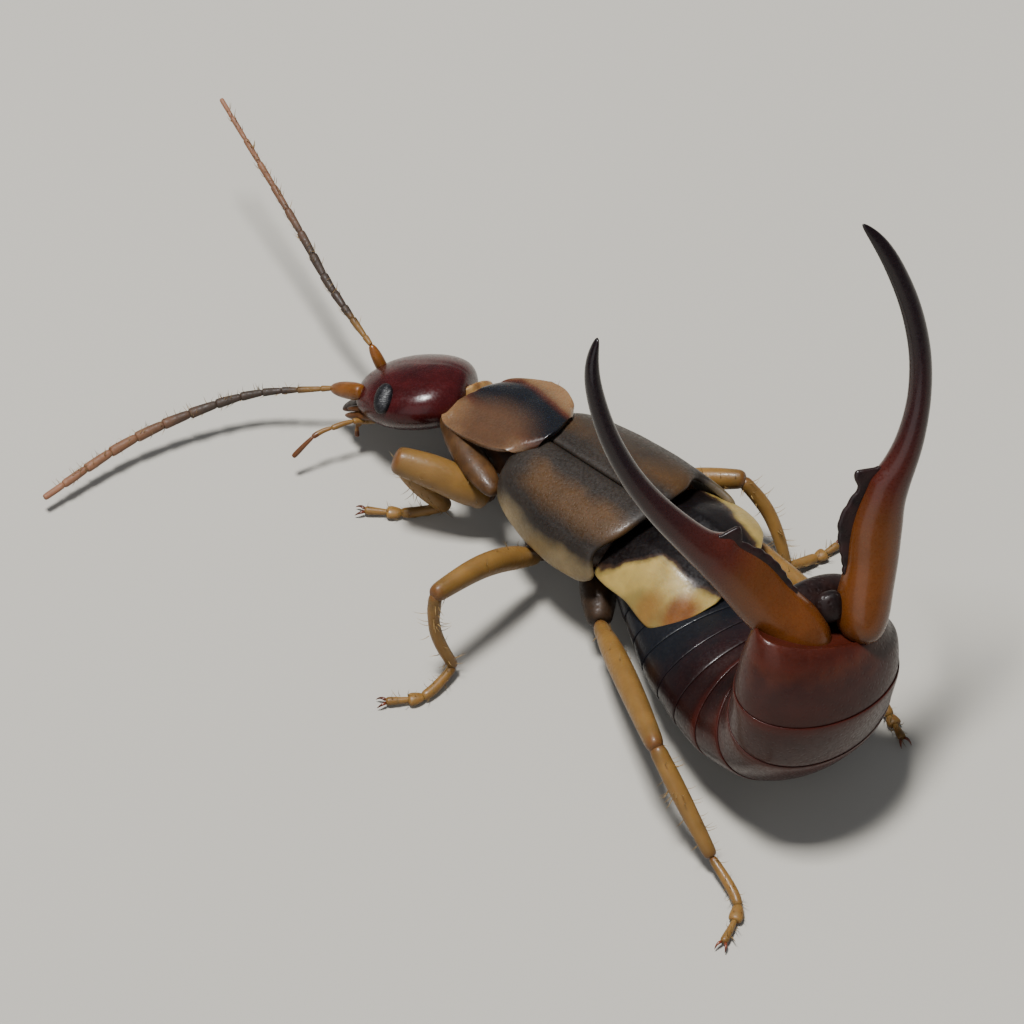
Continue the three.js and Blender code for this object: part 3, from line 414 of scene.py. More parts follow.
def join(name, pieces):
    """Join pieces to one."""
    start_clean()
    for piece in pieces:
        piece.select_set(True)
    bpy.context.view_layer.objects.active = pieces[0]
    if len(pieces) > 1:
        bpy.ops.object.join()
    whole = bpy.context.active_object
    whole.name = name
    whole.data.name = name
    return whole


def mark(piece, name, value):
    """Keep a number at each point of a piece, from the point's place, for its finish."""
    layer = piece.data.attributes.new(name, "FLOAT", "POINT")
    for corner in piece.data.vertices:
        layer.data[corner.index].value = value(corner.co)


def along_path(path):
    """A function that gives the share of a path, in millimetres, nearest to a point."""
    spots = [at(*p) for p in path]

    def share(co):
        best = min(range(len(spots)), key=lambda i: (spots[i] - co).length_squared)
        return best / (len(spots) - 1)

    return share


def scatter(name, model, spots):
    """Copy a modelled hair to many spots, each copy with its own mesh, and join the copies."""
    copies = []
    for matrix in spots:
        one = model.copy()
        one.data = model.data.copy()
        bpy.context.collection.objects.link(one)
        one.matrix_world = matrix
        copies.append(one)
    bpy.data.objects.remove(model)
    bpy.context.view_layer.update()
    whole = join(name, copies)
    bpy.ops.object.transform_apply(location=True, rotation=True, scale=True)
    return whole


def hair():
    """Model one hair, a millimetre long and of few faces, rooted at the origin and bent a little."""
    radius = bpy.context.scene.earwig_sizes.hair_radius
    rows = []
    for rise, bend, wide in ((0, 0, 1), (0.45, 0.03, 0.8), (0.8, 0.09, 0.5), (1, 0.15, 0.12)):
        rows.append((Vector((bend, 0, rise)) * MM, Vector((bend * 1.5, 0, 1)), Vector((0, 1, 0)),
                     radius * wide, radius * wide))
    return grow("hair", rows, 4, False)


def hair_spots(dice, path, radii, count, reach, lean=0.8, start=0.06, end=0.97):
    """Spots for hairs on a limb, each rooted in the surface and leaning along the way on."""
    spots = []
    for _ in range(count):
        share = dice.uniform(start, end)
        centre, way = on_path(path, share)
        side = way.orthogonal().normalized()
        side.rotate(Quaternion(way, dice.uniform(0, math.tau)))
        root = at(*(centre + side * read(radii, share) * 0.9))
        lying = (side + way * lean * dice.uniform(0.7, 1.3)).normalized().to_track_quat("Z", "X")
        stretch = Matrix.Diagonal((1, 1, reach * dice.uniform(0.65, 1.25), 1))
        spots.append(Matrix.Translation(root) @ lying.to_matrix().to_4x4() @ stretch)
    return spots


def keep(piece, finish, slot, *nodes):
    """Give a finished piece its material, hang it under the body's root and hide the imported parts that it
    stands for. slot is not used.
    """
    piece.data.materials.clear()
    piece.data.materials.append(finish)
    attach(piece, "root")
    if nodes:
        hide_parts(*nodes)
    return piece


# ---------------------------------------------------------------- finishes

def add_node(tree, kind, values=None, links=None, stops=None, **settings):
    """Add a shader node with its settings, socket values, incoming links and colour stops."""
    new = tree.nodes.new("ShaderNode" + kind)
    for key, value in settings.items():
        setattr(new, key, value)
    for key, value in (values or {}).items():
        new.inputs[key].default_value = value
    for key, output in (links or {}).items():
        tree.links.new(output, new.inputs[key])
    for i, (place, shade) in enumerate(stops or []):
        ramp = new.color_ramp.elements
        stop = ramp[i] if i < 2 else ramp.new(place)
        stop.position = place
        stop.color = shade if len(shade) == 4 else (*shade, 1)
    return new


def start_finish(name):
    """A new material's tree with a surface shader and object coordinates."""
    finish = bpy.data.materials.new(name)
    finish.use_nodes = True
    tree = finish.node_tree
    tree.nodes.clear()
    shader = add_node(tree, "BsdfPrincipled")
    add_node(tree, "OutputMaterial", links={"Surface": shader.outputs["BSDF"]})
    place = add_node(tree, "TexCoord").outputs["Object"]
    return finish, tree, shader, place


def tone(code, share=1.0):
    """One of the user's colours by its name, or an sRGB hex value, made darker or lighter by a share."""
    base = linear(code) if code[0] == "#" else getattr(bpy.context.scene.earwig_colours, code)
    return tuple(c * share for c in base)


def chitin(name, stops, layer=None, mottle=0.35, grain=0.30, pits=0.07, pit_depth=0.004, gloss=0.28,
           coat=0.25, glow=0.0, patches=(), bands=None, shine=0.5):
    """Insect cuticle: colour through stops along an attribute or over a mottle, with fine pits and a
    clear hard surface layer. Each stop is its place, colour and share. patches are rows of colour, share,
    middle, radii and softness in millimetres. bands are an attribute and rows of place, colour, share and
    how much the colour covers."""
    finish, tree, shader, place = start_finish(name)
    cloud = add_node(tree, "TexNoise", {"Scale": 1 / (grain * MM), "Detail": 3.0}, {"Vector": place})
    where = cloud.outputs["Fac"]
    if layer:
        share = add_node(tree, "Attribute", attribute_name=layer).outputs["Fac"]
        lift = add_node(tree, "Math", {1: -0.5}, {0: where}, operation="ADD")
        where = add_node(tree, "Math", {1: mottle * 0.3}, {0: lift.outputs[0], 2: share},
                         operation="MULTIPLY_ADD").outputs[0]
    colour_out = add_node(tree, "ValToRGB", links={"Fac": where},
                          stops=[(spot, tone(*shade)) for spot, *shade in stops]).outputs["Color"]
    if bands:
        ring = add_node(tree, "Attribute", attribute_name=bands[0]).outputs["Fac"]
        over = add_node(tree, "ValToRGB", links={"Fac": ring},
                        stops=[(spot, (*tone(code, share), cover)) for spot, code, share, cover in bands[1]])
        colour_out = add_node(tree, "Mix", links={0: over.outputs["Alpha"], 6: colour_out,
                                                  7: over.outputs["Color"]}, data_type="RGBA").outputs[2]
    for code, share, middle, radii, soft in patches:
        spot = at(*middle)
        moved = add_node(tree, "Mapping", {"Location": [-c / (r * MM) for c, r in zip(spot, radii)],
                                           "Scale": [1 / (r * MM) for r in radii]}, {"Vector": place})
        reach = add_node(tree, "VectorMath", links={0: moved.outputs["Vector"]}, operation="LENGTH")
        wobble = add_node(tree, "Math", {1: 0.3}, {0: cloud.outputs["Fac"], 2: reach.outputs["Value"]},
                          operation="MULTIPLY_ADD")
        mask = add_node(tree, "MapRange", {"From Min": 1.15 + soft, "From Max": 1.15 - soft},
                        {"Value": wobble.outputs[0]}, interpolation_type="SMOOTHSTEP")
        colour_out = add_node(tree, "Mix", {7: (*tone(code, share), 1)}, {0: mask.outputs[0], 6: colour_out},
                              data_type="RGBA").outputs[2]
    light = add_node(tree, "MapRange", {"From Min": 0.3, "From Max": 0.7, "To Min": 0.55, "To Max": 1.35},
                     {"Value": cloud.outputs["Fac"]})
    shaded = add_node(tree, "Mix", {0: mottle}, {6: colour_out, 7: light.outputs[0]},
                      data_type="RGBA", blend_type="MULTIPLY")
    fine = add_node(tree, "TexNoise", {"Scale": 1 / (0.05 * MM), "Detail": 2.0}, {"Vector": place})
    rough = add_node(tree, "MapRange", {"From Min": 0.35, "From Max": 0.65, "To Min": gloss * 0.8,
                                        "To Max": gloss * 1.35}, {"Value": fine.outputs["Fac"]})
    cells = add_node(tree, "TexVoronoi", {"Scale": 1 / (pits * MM)}, {"Vector": place})
    dent = add_node(tree, "MapRange", {"From Max": 0.35}, {"Value": cells.outputs["Distance"]})
    bump = add_node(tree, "Bump", {"Strength": 0.6, "Distance": pit_depth * MM}, {"Height": dent.outputs[0]})
    wave = add_node(tree, "Bump", {"Strength": 0.5, "Distance": 0.012 * MM},
                    {"Height": cloud.outputs["Fac"], "Normal": bump.outputs["Normal"]})
    for socket, output in (("Base Color", shaded.outputs[2]), ("Roughness", rough.outputs[0]),
                           ("Normal", wave.outputs["Normal"])):
        tree.links.new(output, shader.inputs[socket])
    for socket, value in (("IOR", 1.38), ("Specular IOR Level", shine), ("Coat Weight", coat),
                          ("Coat Roughness", 0.1), ("Coat IOR", 1.32), ("Subsurface Weight", glow),
                          ("Subsurface Radius", GLOW_COLOUR), ("Subsurface Scale", GLOW_REACH * MM)):
        shader.inputs[socket].default_value = value
    return finish


# How far light spreads inside the cuticle in red, green and blue, and the reach in millimetres.
GLOW_COLOUR = (1.0, 0.35, 0.12)
GLOW_REACH = 0.25

FINISHES = {
    # The head is smooth and hard like lacquer: near black in shade, red where light comes through.
    "polished red-brown cuticle": dict(
        stops=[(0.3, "head", 0.75), (0.7, "head", 1.2)], pits=0.09, pit_depth=0.0015, gloss=0.24, coat=0.16,
        glow=0.1, mottle=0.2, shine=0.36, patches=[("face", 0.5, (1.27, -2.45, 0.75), (0.45, 0.45, 0.4), 0.5)]),
    # Thinner cuticle of the jaws: brown, with darker biting edges.
    "brown mouthpart cuticle": dict(
        stops=[(0.35, "face", 0.6), (0.65, "face")], pits=0.05, gloss=0.36, coat=0.1, glow=0.15, shine=0.35),
    # The lip is darker than the jaws under it.
    "dark lip cuticle": dict(
        stops=[(0.35, "#2c170d"), (0.65, "#4c2a15")], pits=0.05, gloss=0.4, coat=0.1, shine=0.3),
    # Palps are thin and tan-orange, and let light through; the last joint is browner.
    "tan palp cuticle": dict(
        stops=[(0.0, "leg", 0.9), (0.66, "leg", 0.95), (0.74, "face", 1.1), (1.0, "face")], layer="along",
        pits=0.05, gloss=0.4, coat=0.1, glow=0.25),
    # Hundreds of lenses, black with a small grey sheen.
    "black facet eye": dict(
        stops=[(0.3, "#070608"), (0.7, "#141216")], grain=0.1, pits=0.03, pit_depth=0.006, coat=0.3),
    # The first joint is smooth amber and half clear.
    "amber feeler base": dict(
        stops=[(0.3, "#6c4014", 0.7), (0.7, "#6c4014")], pits=0.05, gloss=0.34, coat=0.12, glow=0.25),
    # Feelers are matt from a felt of tiny hairs: grey-brown near the head, warmer toward the tip.
    "dull feeler cuticle": dict(
        stops=[(0.0, "leg", 0.9), (0.08, "leg", 0.75), (0.14, "feeler", 0.8), (0.4, "feeler"),
               (0.7, "#6b4a34"), (1.0, "#7c5640")],
        layer="along", pits=0.03, gloss=0.55, coat=0.0, glow=0.1),
    # Soft folded skin, tan and see-through at the folds.
    "neck skin": dict(
        stops=[(0.3, "#6b4c28"), (0.7, "#97774a")], grain=0.15, pits=0.04, pit_depth=0.006, gloss=0.35,
        coat=0.2, glow=0.4),
    # A blue-black disc in a red-brown ring, and thin pale margins that glow against the light.
    "pronotum cuticle": dict(
        stops=[(0.0, "disc"), (0.46, "disc", 1.2), (0.56, "#28120f"), (0.68, "#472619"), (0.80, "pale", 0.66),
               (1.0, "pale")],
        layer="margin", pit_depth=0.003, gloss=0.26, coat=0.35, glow=0.12, mottle=0.25,
        patches=[("#4c3524", 1, (0.45, 0.25, 2.0), (0.56, 0.85, 0.7), 0.6)]),
    # The sides of the thorax: brown plates with darker seams.
    "brown body cuticle": dict(stops=[(0.3, "#2c1a10"), (0.7, "#50331f")], pits=0.06, gloss=0.4, coat=0.15),
    # The plate above the front hip is thin and tan-brown.
    "tan flank cuticle": dict(
        stops=[(0.3, "#35210f"), (0.7, "#4c331b")], pits=0.06, gloss=0.42, coat=0.08, glow=0.2, shine=0.35),
    # Leathery and half clear: grey-brown, a dull orange band along the middle, tan toward the side.
    "leathery wing case": dict(
        stops=[(0.0, "case", 0.8), (0.15, "case", 0.9), (0.28, "case_band"), (0.42, "case_band", 0.9),
               (0.55, "case", 0.7), (0.66, "case", 0.75), (0.80, "#66573c"), (1.0, "#7f6c4a")],
        layer="across", grain=0.45, pits=0.06, pit_depth=0.005, gloss=0.45, coat=0.08, glow=0.1, mottle=0.45,
        patches=[("#231d18", 1, (0.62, 1.05, 1.9), (0.62, 0.42, 0.5), 0.7),
                 ("#322b24", 1, (-0.95, 2.1, 1.7), (0.62, 1.6, 0.8), 0.5),
                 ("#6c5e3a", 1, (0.50, 3.34, 1.75), (0.26, 0.22, 0.5), 0.5),
                 ("#6c5e3a", 1, (-0.62, 3.55, 1.75), (0.26, 0.2, 0.5), 0.5)]),
    # The folded wing's horny cover: blackish along the middle, cream at the side, an orange tip.
    "cream wing tip": dict(
        stops=[(0.0, "#0d0909"), (0.40, "#120c0b"), (0.46, "#33241a"), (0.50, "cream", 0.6), (0.56, "cream"),
               (0.9, "cream", 0.9), (1.0, "cream", 0.6)],
        layer="across", pits=0.08, pit_depth=0.001, gloss=0.36, coat=0.12, glow=0.15, mottle=0.45, shine=0.4,
        patches=[("#6a4018", 1, (0.60, 5.22, 1.8), (0.36, 0.26, 0.5), 0.4),
                 ("#7a5a2c", 1, (0.85, 4.75, 1.7), (0.28, 0.22, 0.5), 0.6)]),
    # Hard rings: blue-black at the base, then red-brown, a painted grey sheen on each and a thin red rear edge.
    "abdomen cuticle": dict(
        stops=[(0.0, "base"), (0.30, "base", 1.1), (0.46, "belly", 0.6), (0.62, "belly"), (0.88, "belly", 1.1),
               (1.0, "#4a2311")],
        layer="along", pits=0.09, pit_depth=0.006, gloss=0.36, coat=0.2, glow=0.05, shine=0.35,
        # The grey #2e2b2a rows paint a sheen across each ring; the #3f150d rows are the rings' own red rear edge.
        bands=("ring", [(0.0, "#2e2b2a", 1, 0), (0.35, "#2e2b2a", 1, 0.18), (0.62, "#2e2b2a", 1, 0.14),
                        (0.78, "#3f150d", 1, 0.1), (0.88, "#3f150d", 1, 0.6), (1.0, "#3f150d", 0.8, 0.8)]),
        patches=[("#35200f", 1, (1.86, 5.49, 1.65), (0.34, 0.3, 0.4), 0.6),
                 ("#6a3510", 1, (0.42, 7.30, 3.66), (0.80, 0.6, 0.44), 0.7)]),
    # The end of the back is nearly black, with a dull shine, and set with fine grains.
    "dark tail cuticle": dict(
        stops=[(0.3, "#0f0808"), (0.7, "#1f100d")], pits=0.12, pit_depth=0.02, gloss=0.42, coat=0.08,
        shine=0.35),
    # Thick cuticle, clear amber at the base and darkening to near black at the tip.
    "forceps cuticle": dict(
        stops=[(0.0, "amber", 0.7), (0.12, "amber"), (0.26, "amber", 0.8), (0.36, "#3d150c"), (0.50, "#29100f"),
               (0.70, "tip"), (1.0, "tip", 0.6)],
        layer="along", pits=0.12, pit_depth=0.002, coat=0.3, glow=0.12, mottle=0.25),
    # The toothed inner ridge is almost black, with red where it is thin.
    "dark ridge cuticle": dict(stops=[(0.3, "#120908"), (0.7, "#241110")], pits=0.06, gloss=0.34, coat=0.1),
    # Thin yellow-tan cuticle, half clear, browner at the joints.
    "tan leg cuticle": dict(
        stops=[(0.0, "joint"), (0.06, "leg", 0.7), (0.2, "leg"), (0.8, "leg", 0.95), (0.93, "leg", 0.75),
               (1.0, "joint")],
        layer="along", pits=0.06, pit_depth=0.003, gloss=0.42, coat=0.08, glow=0.2, mottle=0.3),
    # The hips are browner than the legs, and painted darker still for the shade that falls on them under the
    # body.
    "brown hip cuticle": dict(
        stops=[(0.3, "#1e140c"), (0.7, "#332213")], pits=0.06, pit_depth=0.003, gloss=0.5, coat=0.0, glow=0.1,
        shine=0.35),
    # Claws are hard and red-brown with darker points.
    "reddish claw": dict(stops=[(0.3, "#32150e"), (0.7, "#6a331c")], grain=0.1, gloss=0.3),
    # Hairs are pale gold against the dark body.
    "fine hair": dict(stops=[(0.3, "#6a5232"), (0.7, "#94784a")], grain=0.1, gloss=0.4, coat=0.0),
}


def look(name):
    """A finish by name, made the first time it is asked for."""
    return bpy.data.materials.get(name) or chitin(name, **FINISHES[name])


# ---------------------------------------------------------------- pieces

class EARWIG_OT_head(bpy.types.Operator):
    """Model the head capsule with the faint furrow along its top"""
    bl_idname = "earwig.head"
    bl_label = "Head"

    def execute(self, context):
        widths = [(0, 0.30), (0.03, 0.52), (0.1, 0.76), (0.24, 0.93), (0.42, 1), (0.6, 0.98),
                  (0.76, 0.84), (0.88, 0.66), (0.96, 0.50), (1, 0.40)]
        heights = [(0, 0.42), (0.03, 0.62), (0.1, 0.82), (0.24, 0.96), (0.42, 1), (0.6, 0.98),
                   (0.76, 0.88), (0.88, 0.70), (0.96, 0.50), (1, 0.36)]
        turned = HEAD.to_3x3().normalized()
        rows = []
        for t, wide in widths:
            centre = HEAD @ Vector((0, HEAD_REAR - HEAD_LENGTH * t, -0.05 * t))
            rows.append((centre, turned @ Vector((0, -1, 0)), turned @ Vector((0, 0, 1)),
                         HEAD_HALF * wide * 1.01 * MM, HEAD_TALL * read(heights, t) * 1.03 * MM))
        capsule = smooth(grow("head_capsule", rows, 24))
        local = HEAD.inverted()
        bpy.ops.object.mode_set(mode="EDIT")
        bpy.ops.mesh.select_all(action="DESELECT")
        bpy.ops.object.mode_set(mode="OBJECT")
        for corner in capsule.data.vertices:
            spot = local @ corner.co
            corner.select = abs(spot.x) < 0.02 and spot.z > 0.2 and spot.y > -0.35
        bpy.ops.object.mode_set(mode="EDIT")
        bpy.ops.transform.translate(value=turned @ Vector((0, 0, -0.005 * MM)))
        bpy.ops.object.mode_set(mode="OBJECT")
        keep(capsule, look("polished red-brown cuticle"), "head", "head")
        return {"FINISHED"}


class EARWIG_OT_eyes(bpy.types.Operator):
    """Model the two compound eyes, each with a raised facet for every lens"""
    bl_idname = "earwig.eyes"
    bl_label = "Eyes"

    def execute(self, context):
        turned = HEAD.to_3x3().normalized()
        facet = 0.003 * MM
        for name, side in SIDES:
            start_clean()
            bpy.ops.mesh.primitive_ico_sphere_add(subdivisions=4, radius=1.0 * MM)
            eye = bpy.context.active_object
            bpy.ops.object.mode_set(mode="EDIT")
            bpy.ops.mesh.select_all(action="SELECT")
            bpy.ops.transform.resize(value=EYE_RADII, center_override=(0, 0, 0))
            centre, lean = EYES[name]
            turn(turned @ Matrix.Rotation(math.radians(-12 * side), 3, "Z")
                 @ Matrix.Rotation(math.radians(lean), 3, "Y"), Vector((0, 0, 0)))
            bpy.ops.transform.translate(value=HEAD @ Vector(centre))
            bpy.ops.mesh.inset(thickness=facet, depth=facet, use_individual=True, use_even_offset=False)
            bpy.ops.object.mode_set(mode="OBJECT")
            bpy.ops.object.shade_smooth()
            eye.name = "eye_lens_" + name
            keep(eye, look("black facet eye"), "eye", "eye_" + name)
        return {"FINISHED"}


class EARWIG_OT_mouth(bpy.types.Operator):
    """Model the lip, the jaws and the two pairs of palps"""
    bl_idname = "earwig.mouth"
    bl_label = "Mouth"

    def execute(self, context):
        lip = self.finger("lip", [(0, HEAD_FRONT + 0.22, -0.12), (0, HEAD_FRONT - 0.06, -0.22),
                                  (0, HEAD_FRONT - 0.35, -0.30)],
                          [(0, 0.30, 0.14), (0.3, 0.31, 0.12), (0.6, 0.28, 0.085), (0.85, 0.22, 0.06),
                           (0.97, 0.15, 0.04), (1, 0.08, 0.02)], 16)
        keep(lip, look("dark lip cuticle"), "mouth", "labrum")
        for name, side in SIDES:
            fingers = []
            for points, wide in ((((0.38, -0.62, -0.13), (0.36, -0.92, -0.18), (0.26, -1.18, -0.22)), 0.078),
                                 (((0.44, -0.62, -0.25), (0.38, -0.94, -0.31), (0.18, -1.26, -0.37)), 0.088)):
                sizes = [(s, wide * r, wide * r * 0.85) for s, r in
                         ((0, 1.0), (0.1, 1.25), (0.45, 1.0), (0.75, 0.8), (0.92, 0.5), (1, 0.2))]
                fingers.append(self.finger("jaw", [(x * side, y, z) for x, y, z in points], sizes, 12))
            keep(join("jaw_" + name, fingers), look("brown mouthpart cuticle"), "mouth", "mandible_" + name)
            self.palp("long_palp_" + name, LONG_PALPS[name], [0, 0.12, 0.24, 0.48, 0.70, 1], 0.056,
                      "palp_maxillary_" + name)
            short_palp = [(0.20 * side, -0.80, -0.42), (0.22 * side, -0.94, -0.46),
                          (0.25 * side, -1.045, -0.54), (0.28 * side, -1.063, -0.72)]
            lower_lip = [(0.32 * side, -0.66, -0.38), (0.34 * side, -0.92, -0.41), (0.32 * side, -1.12, -0.42)]
            lower = self.finger("lower_lip", lower_lip, [(0, 0.07), (0.12, 0.085, 0.075), (0.5, 0.075, 0.065),
                                                         (0.85, 0.05, 0.045), (1, 0.02)], 12)
            self.palp("short_palp_" + name, short_palp, [0, 0.30, 0.62, 1], 0.05, "palp_labial_" + name,
                      [lower])
        return {"FINISHED"}

    def finger(self, name, points, sizes, corners):
        """A body along points in the head's own axes."""
        up = HEAD.to_3x3().normalized() @ Vector((0, 0, 1))
        return limb(name, smooth_path([own(HEAD, *p) for p in points]), sizes, corners, up)

    def palp(self, name, points, joints, radius, node, more=()):
        """A palp of slender joints, each swollen toward its end."""
        parts = []
        for a, b in zip(joints, joints[1:]):
            thin = 1 - 0.15 * b
            sizes = [(a + (b - a) * s, radius * r * thin)
                     for s, r in ((-0.04, 0.5), (0.06, 0.72), (0.4, 0.84), (0.8, 1.0), (0.95, 0.9), (1, 0.6))]
            parts.append(self.finger(name, points, sizes, 10))
        whole = join(name, [*parts, *more])
        mark(whole, "along", along_path([own(HEAD, *p) for p in points]))
        keep(whole, look("tan palp cuticle"), "mouth", node)


class EARWIG_OT_feelers(bpy.types.Operator):
    """Model the two feelers: a stout first joint, a row of slender beads, and a felt of fine hairs"""
    bl_idname = "earwig.feelers"
    bl_label = "Feelers"

    def execute(self, context):
        radius = context.scene.earwig_sizes.feeler_radius / MM
        dice = random.Random(3)
        for name, side in SIDES:
            root = smooth_path([own(HEAD, *SOCKETS[name]), FEELERS[name][0]])
            stout = 1 if side > 0 else 0.66
            sizes = [(-0.02, 0.09), (0.06, 0.13), (0.18, 0.15), (0.35, 0.152), (0.6, 0.142), (0.8, 0.118),
                     (0.93, 0.085), (1, 0.05)]
            first = limb("feeler_root_" + name, root, [(s, r * stout) for s, r in sizes])
            keep(first, look("amber feeler base"), "feeler", f"antenna_{name}_scape")
            path = smooth_path(FEELERS[name])
            beads = []
            for a, b in zip(FEELER_JOINTS, FEELER_JOINTS[1:]):
                sizes = []
                for s, r in ((-0.05, 0.50), (0.02, 0.76), (0.12, 0.84), (0.5, 0.92), (0.85, 1.0), (0.95, 0.95),
                             (1.0, 0.70)):
                    spot = a + (b - a) * s
                    sizes.append((max(spot, 0), radius * read(FEELER_THICKNESS[name], spot) * r))
                beads.append(limb("feeler_bead", path, sizes, 10))
            whole = join("feeler_beads_" + name, beads)
            mark(whole, "along", along_path(path))
            keep(whole, look("dull feeler cuticle"), "feeler", f"antenna_{name}_flagellum")
            radii = [(s, radius * r * 0.9) for s, r in FEELER_THICKNESS[name]]
            fuzz = scatter("feeler_hairs_" + name, hair(), hair_spots(dice, path, radii, 110, 0.07, 0.6))
            keep(fuzz, look("fine hair"), "feeler")
        return {"FINISHED"}


class EARWIG_OT_neck(bpy.types.Operator):
    """Model the soft neck with its folds"""
    bl_idname = "earwig.neck"
    bl_label = "Neck"

    def execute(self, context):
        path = smooth_path([own(PRONOTUM, 0, -PRONOTUM_LENGTH + 0.3, -0.62),
                            own(HEAD, 0, HEAD_REAR - 0.12, -0.06)])
        sizes = []
        for i in range(17):
            t = i / 16
            fold = 0.035 * math.sin(t * math.tau * 3.5)
            sizes.append((t, 0.44 + 0.06 * math.sin(math.pi * t) + fold, 0.32 + fold))
        keep(limb("neck_skin", path, sizes, 20, levels=1), look("neck skin"), "belly", "neck")
        return {"FINISHED"}


class EARWIG_OT_pronotum(bpy.types.Operator):
    """Model the pronotum: a domed disc with a middle furrow and thin turned-up margins"""
    bl_idname = "earwig.pronotum"
    bl_label = "Pronotum"

    def execute(self, context):
        furrow = context.scene.earwig_sizes.disc_sulcus / MM
        lefts = curve([(0, 0.50), (0.05, 0.72), (0.14, 0.88), (0.28, 0.95), (0.5, 0.96), (0.72, 0.92),
                       (0.86, 0.86), (0.95, 0.76), (1, 0.60)])
        rights = curve([(0, 0.66), (0.05, 0.84), (0.14, 0.98), (0.28, 1.06), (0.45, 1.06), (0.6, 0.99),
                        (0.75, 0.90), (0.88, 0.80), (0.96, 0.68), (1, 0.54)])

        def spot(u, v):
            x = u * 2 - 1
            x = math.copysign(1 - max(1 - abs(x), 0) ** 1.8, x)
            v = 0.5 - 0.5 * math.cos(math.pi * v)
            dome = 0.12 * (1 - abs(x) ** 2.2) - 0.12
            rim = 0.05 * max(abs(x) - 0.82, 0) / 0.18
            swell = 0.05 * math.exp(-((x - 0.62) / 0.2) ** 2) * math.sin(math.pi * v)
            groove = furrow * math.exp(-((x + 0.12) / 0.08) ** 2) * (0.4 + 0.6 * v)
            saddle = 0.05 * math.exp(-((v - 0.45) / 0.12) ** 2) * (1 - x * x)
            rear = 0.33 * (1 - x * x) * (1 - v) ** 3
            front = 1 + 0.09 * x * v ** 2
            return PRONOTUM @ Vector((x * PRONOTUM_HALF * read(lefts if x > 0 else rights, v),
                                      rear - PRONOTUM_LENGTH * v * front,
                                      dome + rim + swell - groove - saddle * 0.4 - 0.04 * (1 - v) ** 8))

        shield = plate("pronotum_shield", 20, 18, spot, 0.08, 2)
        local = PRONOTUM.inverted()
        ring = [Vector(p) for p in DISC_EDGE]

        def margin(co):
            p = (local @ co).to_2d()
            inside = False
            near = 9.0
            for a, b in zip(ring, ring[1:] + ring[:1]):
                if (a.y > p.y) != (b.y > p.y) and p.x < (b.x - a.x) * (p.y - a.y) / (b.y - a.y) + a.x:
                    inside = not inside
                step = b - a
                part = min(max((p - a).dot(step) / step.length_squared, 0), 1)
                near = min(near, (a + step * part - p).length)
            reach = 0.44 if p.x > -0.2 else 0.3
            return min(max(0.5 + (-near if inside else near) / reach * 0.55, 0), 1)

        mark(shield, "margin", margin)
        keep(shield, look("pronotum cuticle"), "pronotum", "pronotum")
        return {"FINISHED"}


class EARWIG_OT_thorax(bpy.types.Operator):
    """Model the three parts of the thorax, and the plate above the left front hip"""
    bl_idname = "earwig.thorax"
    bl_label = "Thorax"

    def execute(self, context):
        up = PRONOTUM.to_3x3().normalized() @ Vector((0, 0, 1))
        middle = smooth_path([own(PRONOTUM, 0, -0.14, -0.70), own(PRONOTUM, 0, -PRONOTUM_LENGTH + 0.22, -0.66)])
        front = limb("front_thorax", middle, [(0, 0.40, 0.26), (0.06, 0.58, 0.38), (0.2, 0.68, 0.42),
                                              (0.5, 0.67, 0.42), (0.8, 0.62, 0.40), (0.94, 0.50, 0.34),
                                              (1, 0.34, 0.24)], 20, up)
        flank = smooth_path([(0.55, -0.76, 1.50), (0.72, -0.34, 1.56), (0.86, 0.16, 1.55), (1.02, 1.05, 1.48)])
        strip = limb("flank", flank, [(0, 0.10, 0.08), (0.06, 0.18, 0.14), (0.35, 0.27, 0.19),
                                      (0.7, 0.27, 0.19), (0.94, 0.18, 0.14), (1, 0.10, 0.08)])
        keep(front, look("brown body cuticle"), "belly", "prothorax")
        keep(strip, look("tan flank cuticle"), "belly")
        turned = WING_CASE.to_3x3().normalized()
        for name, start, end in (("mesothorax", 0.02, 1.38), ("metathorax", 1.48, 2.98)):
            rows = []
            for t, s in ((0, 0.7), (0.05, 0.9), (0.15, 1), (0.4, 1), (0.6, 1), (0.85, 1), (0.95, 0.92),
                         (1, 0.75)):
                y = start + (end - start) * t
                fall = read([(2.1, 0), (2.4, 0.34)], y)
                half = WING_CASE_HALF * read(WING_CASE_WIDTHS, min(y / WING_CASE_LENGTH, 1))
                half -= 0.44 + 0.8 * fall
                top = -0.40 - fall
                bottom = -1.24 - 0.15 * y
                rows.append((WING_CASE @ Vector((0, y, (top + bottom) / 2)), turned @ Vector((0, 1, 0)),
                             turned @ Vector((0, 0, 1)), half * s * MM, (top - bottom) / 2 * s * MM))
            keep(smooth(grow(name + "_plates", rows, 24)), look("brown body cuticle"), "belly", name)
        return {"FINISHED"}


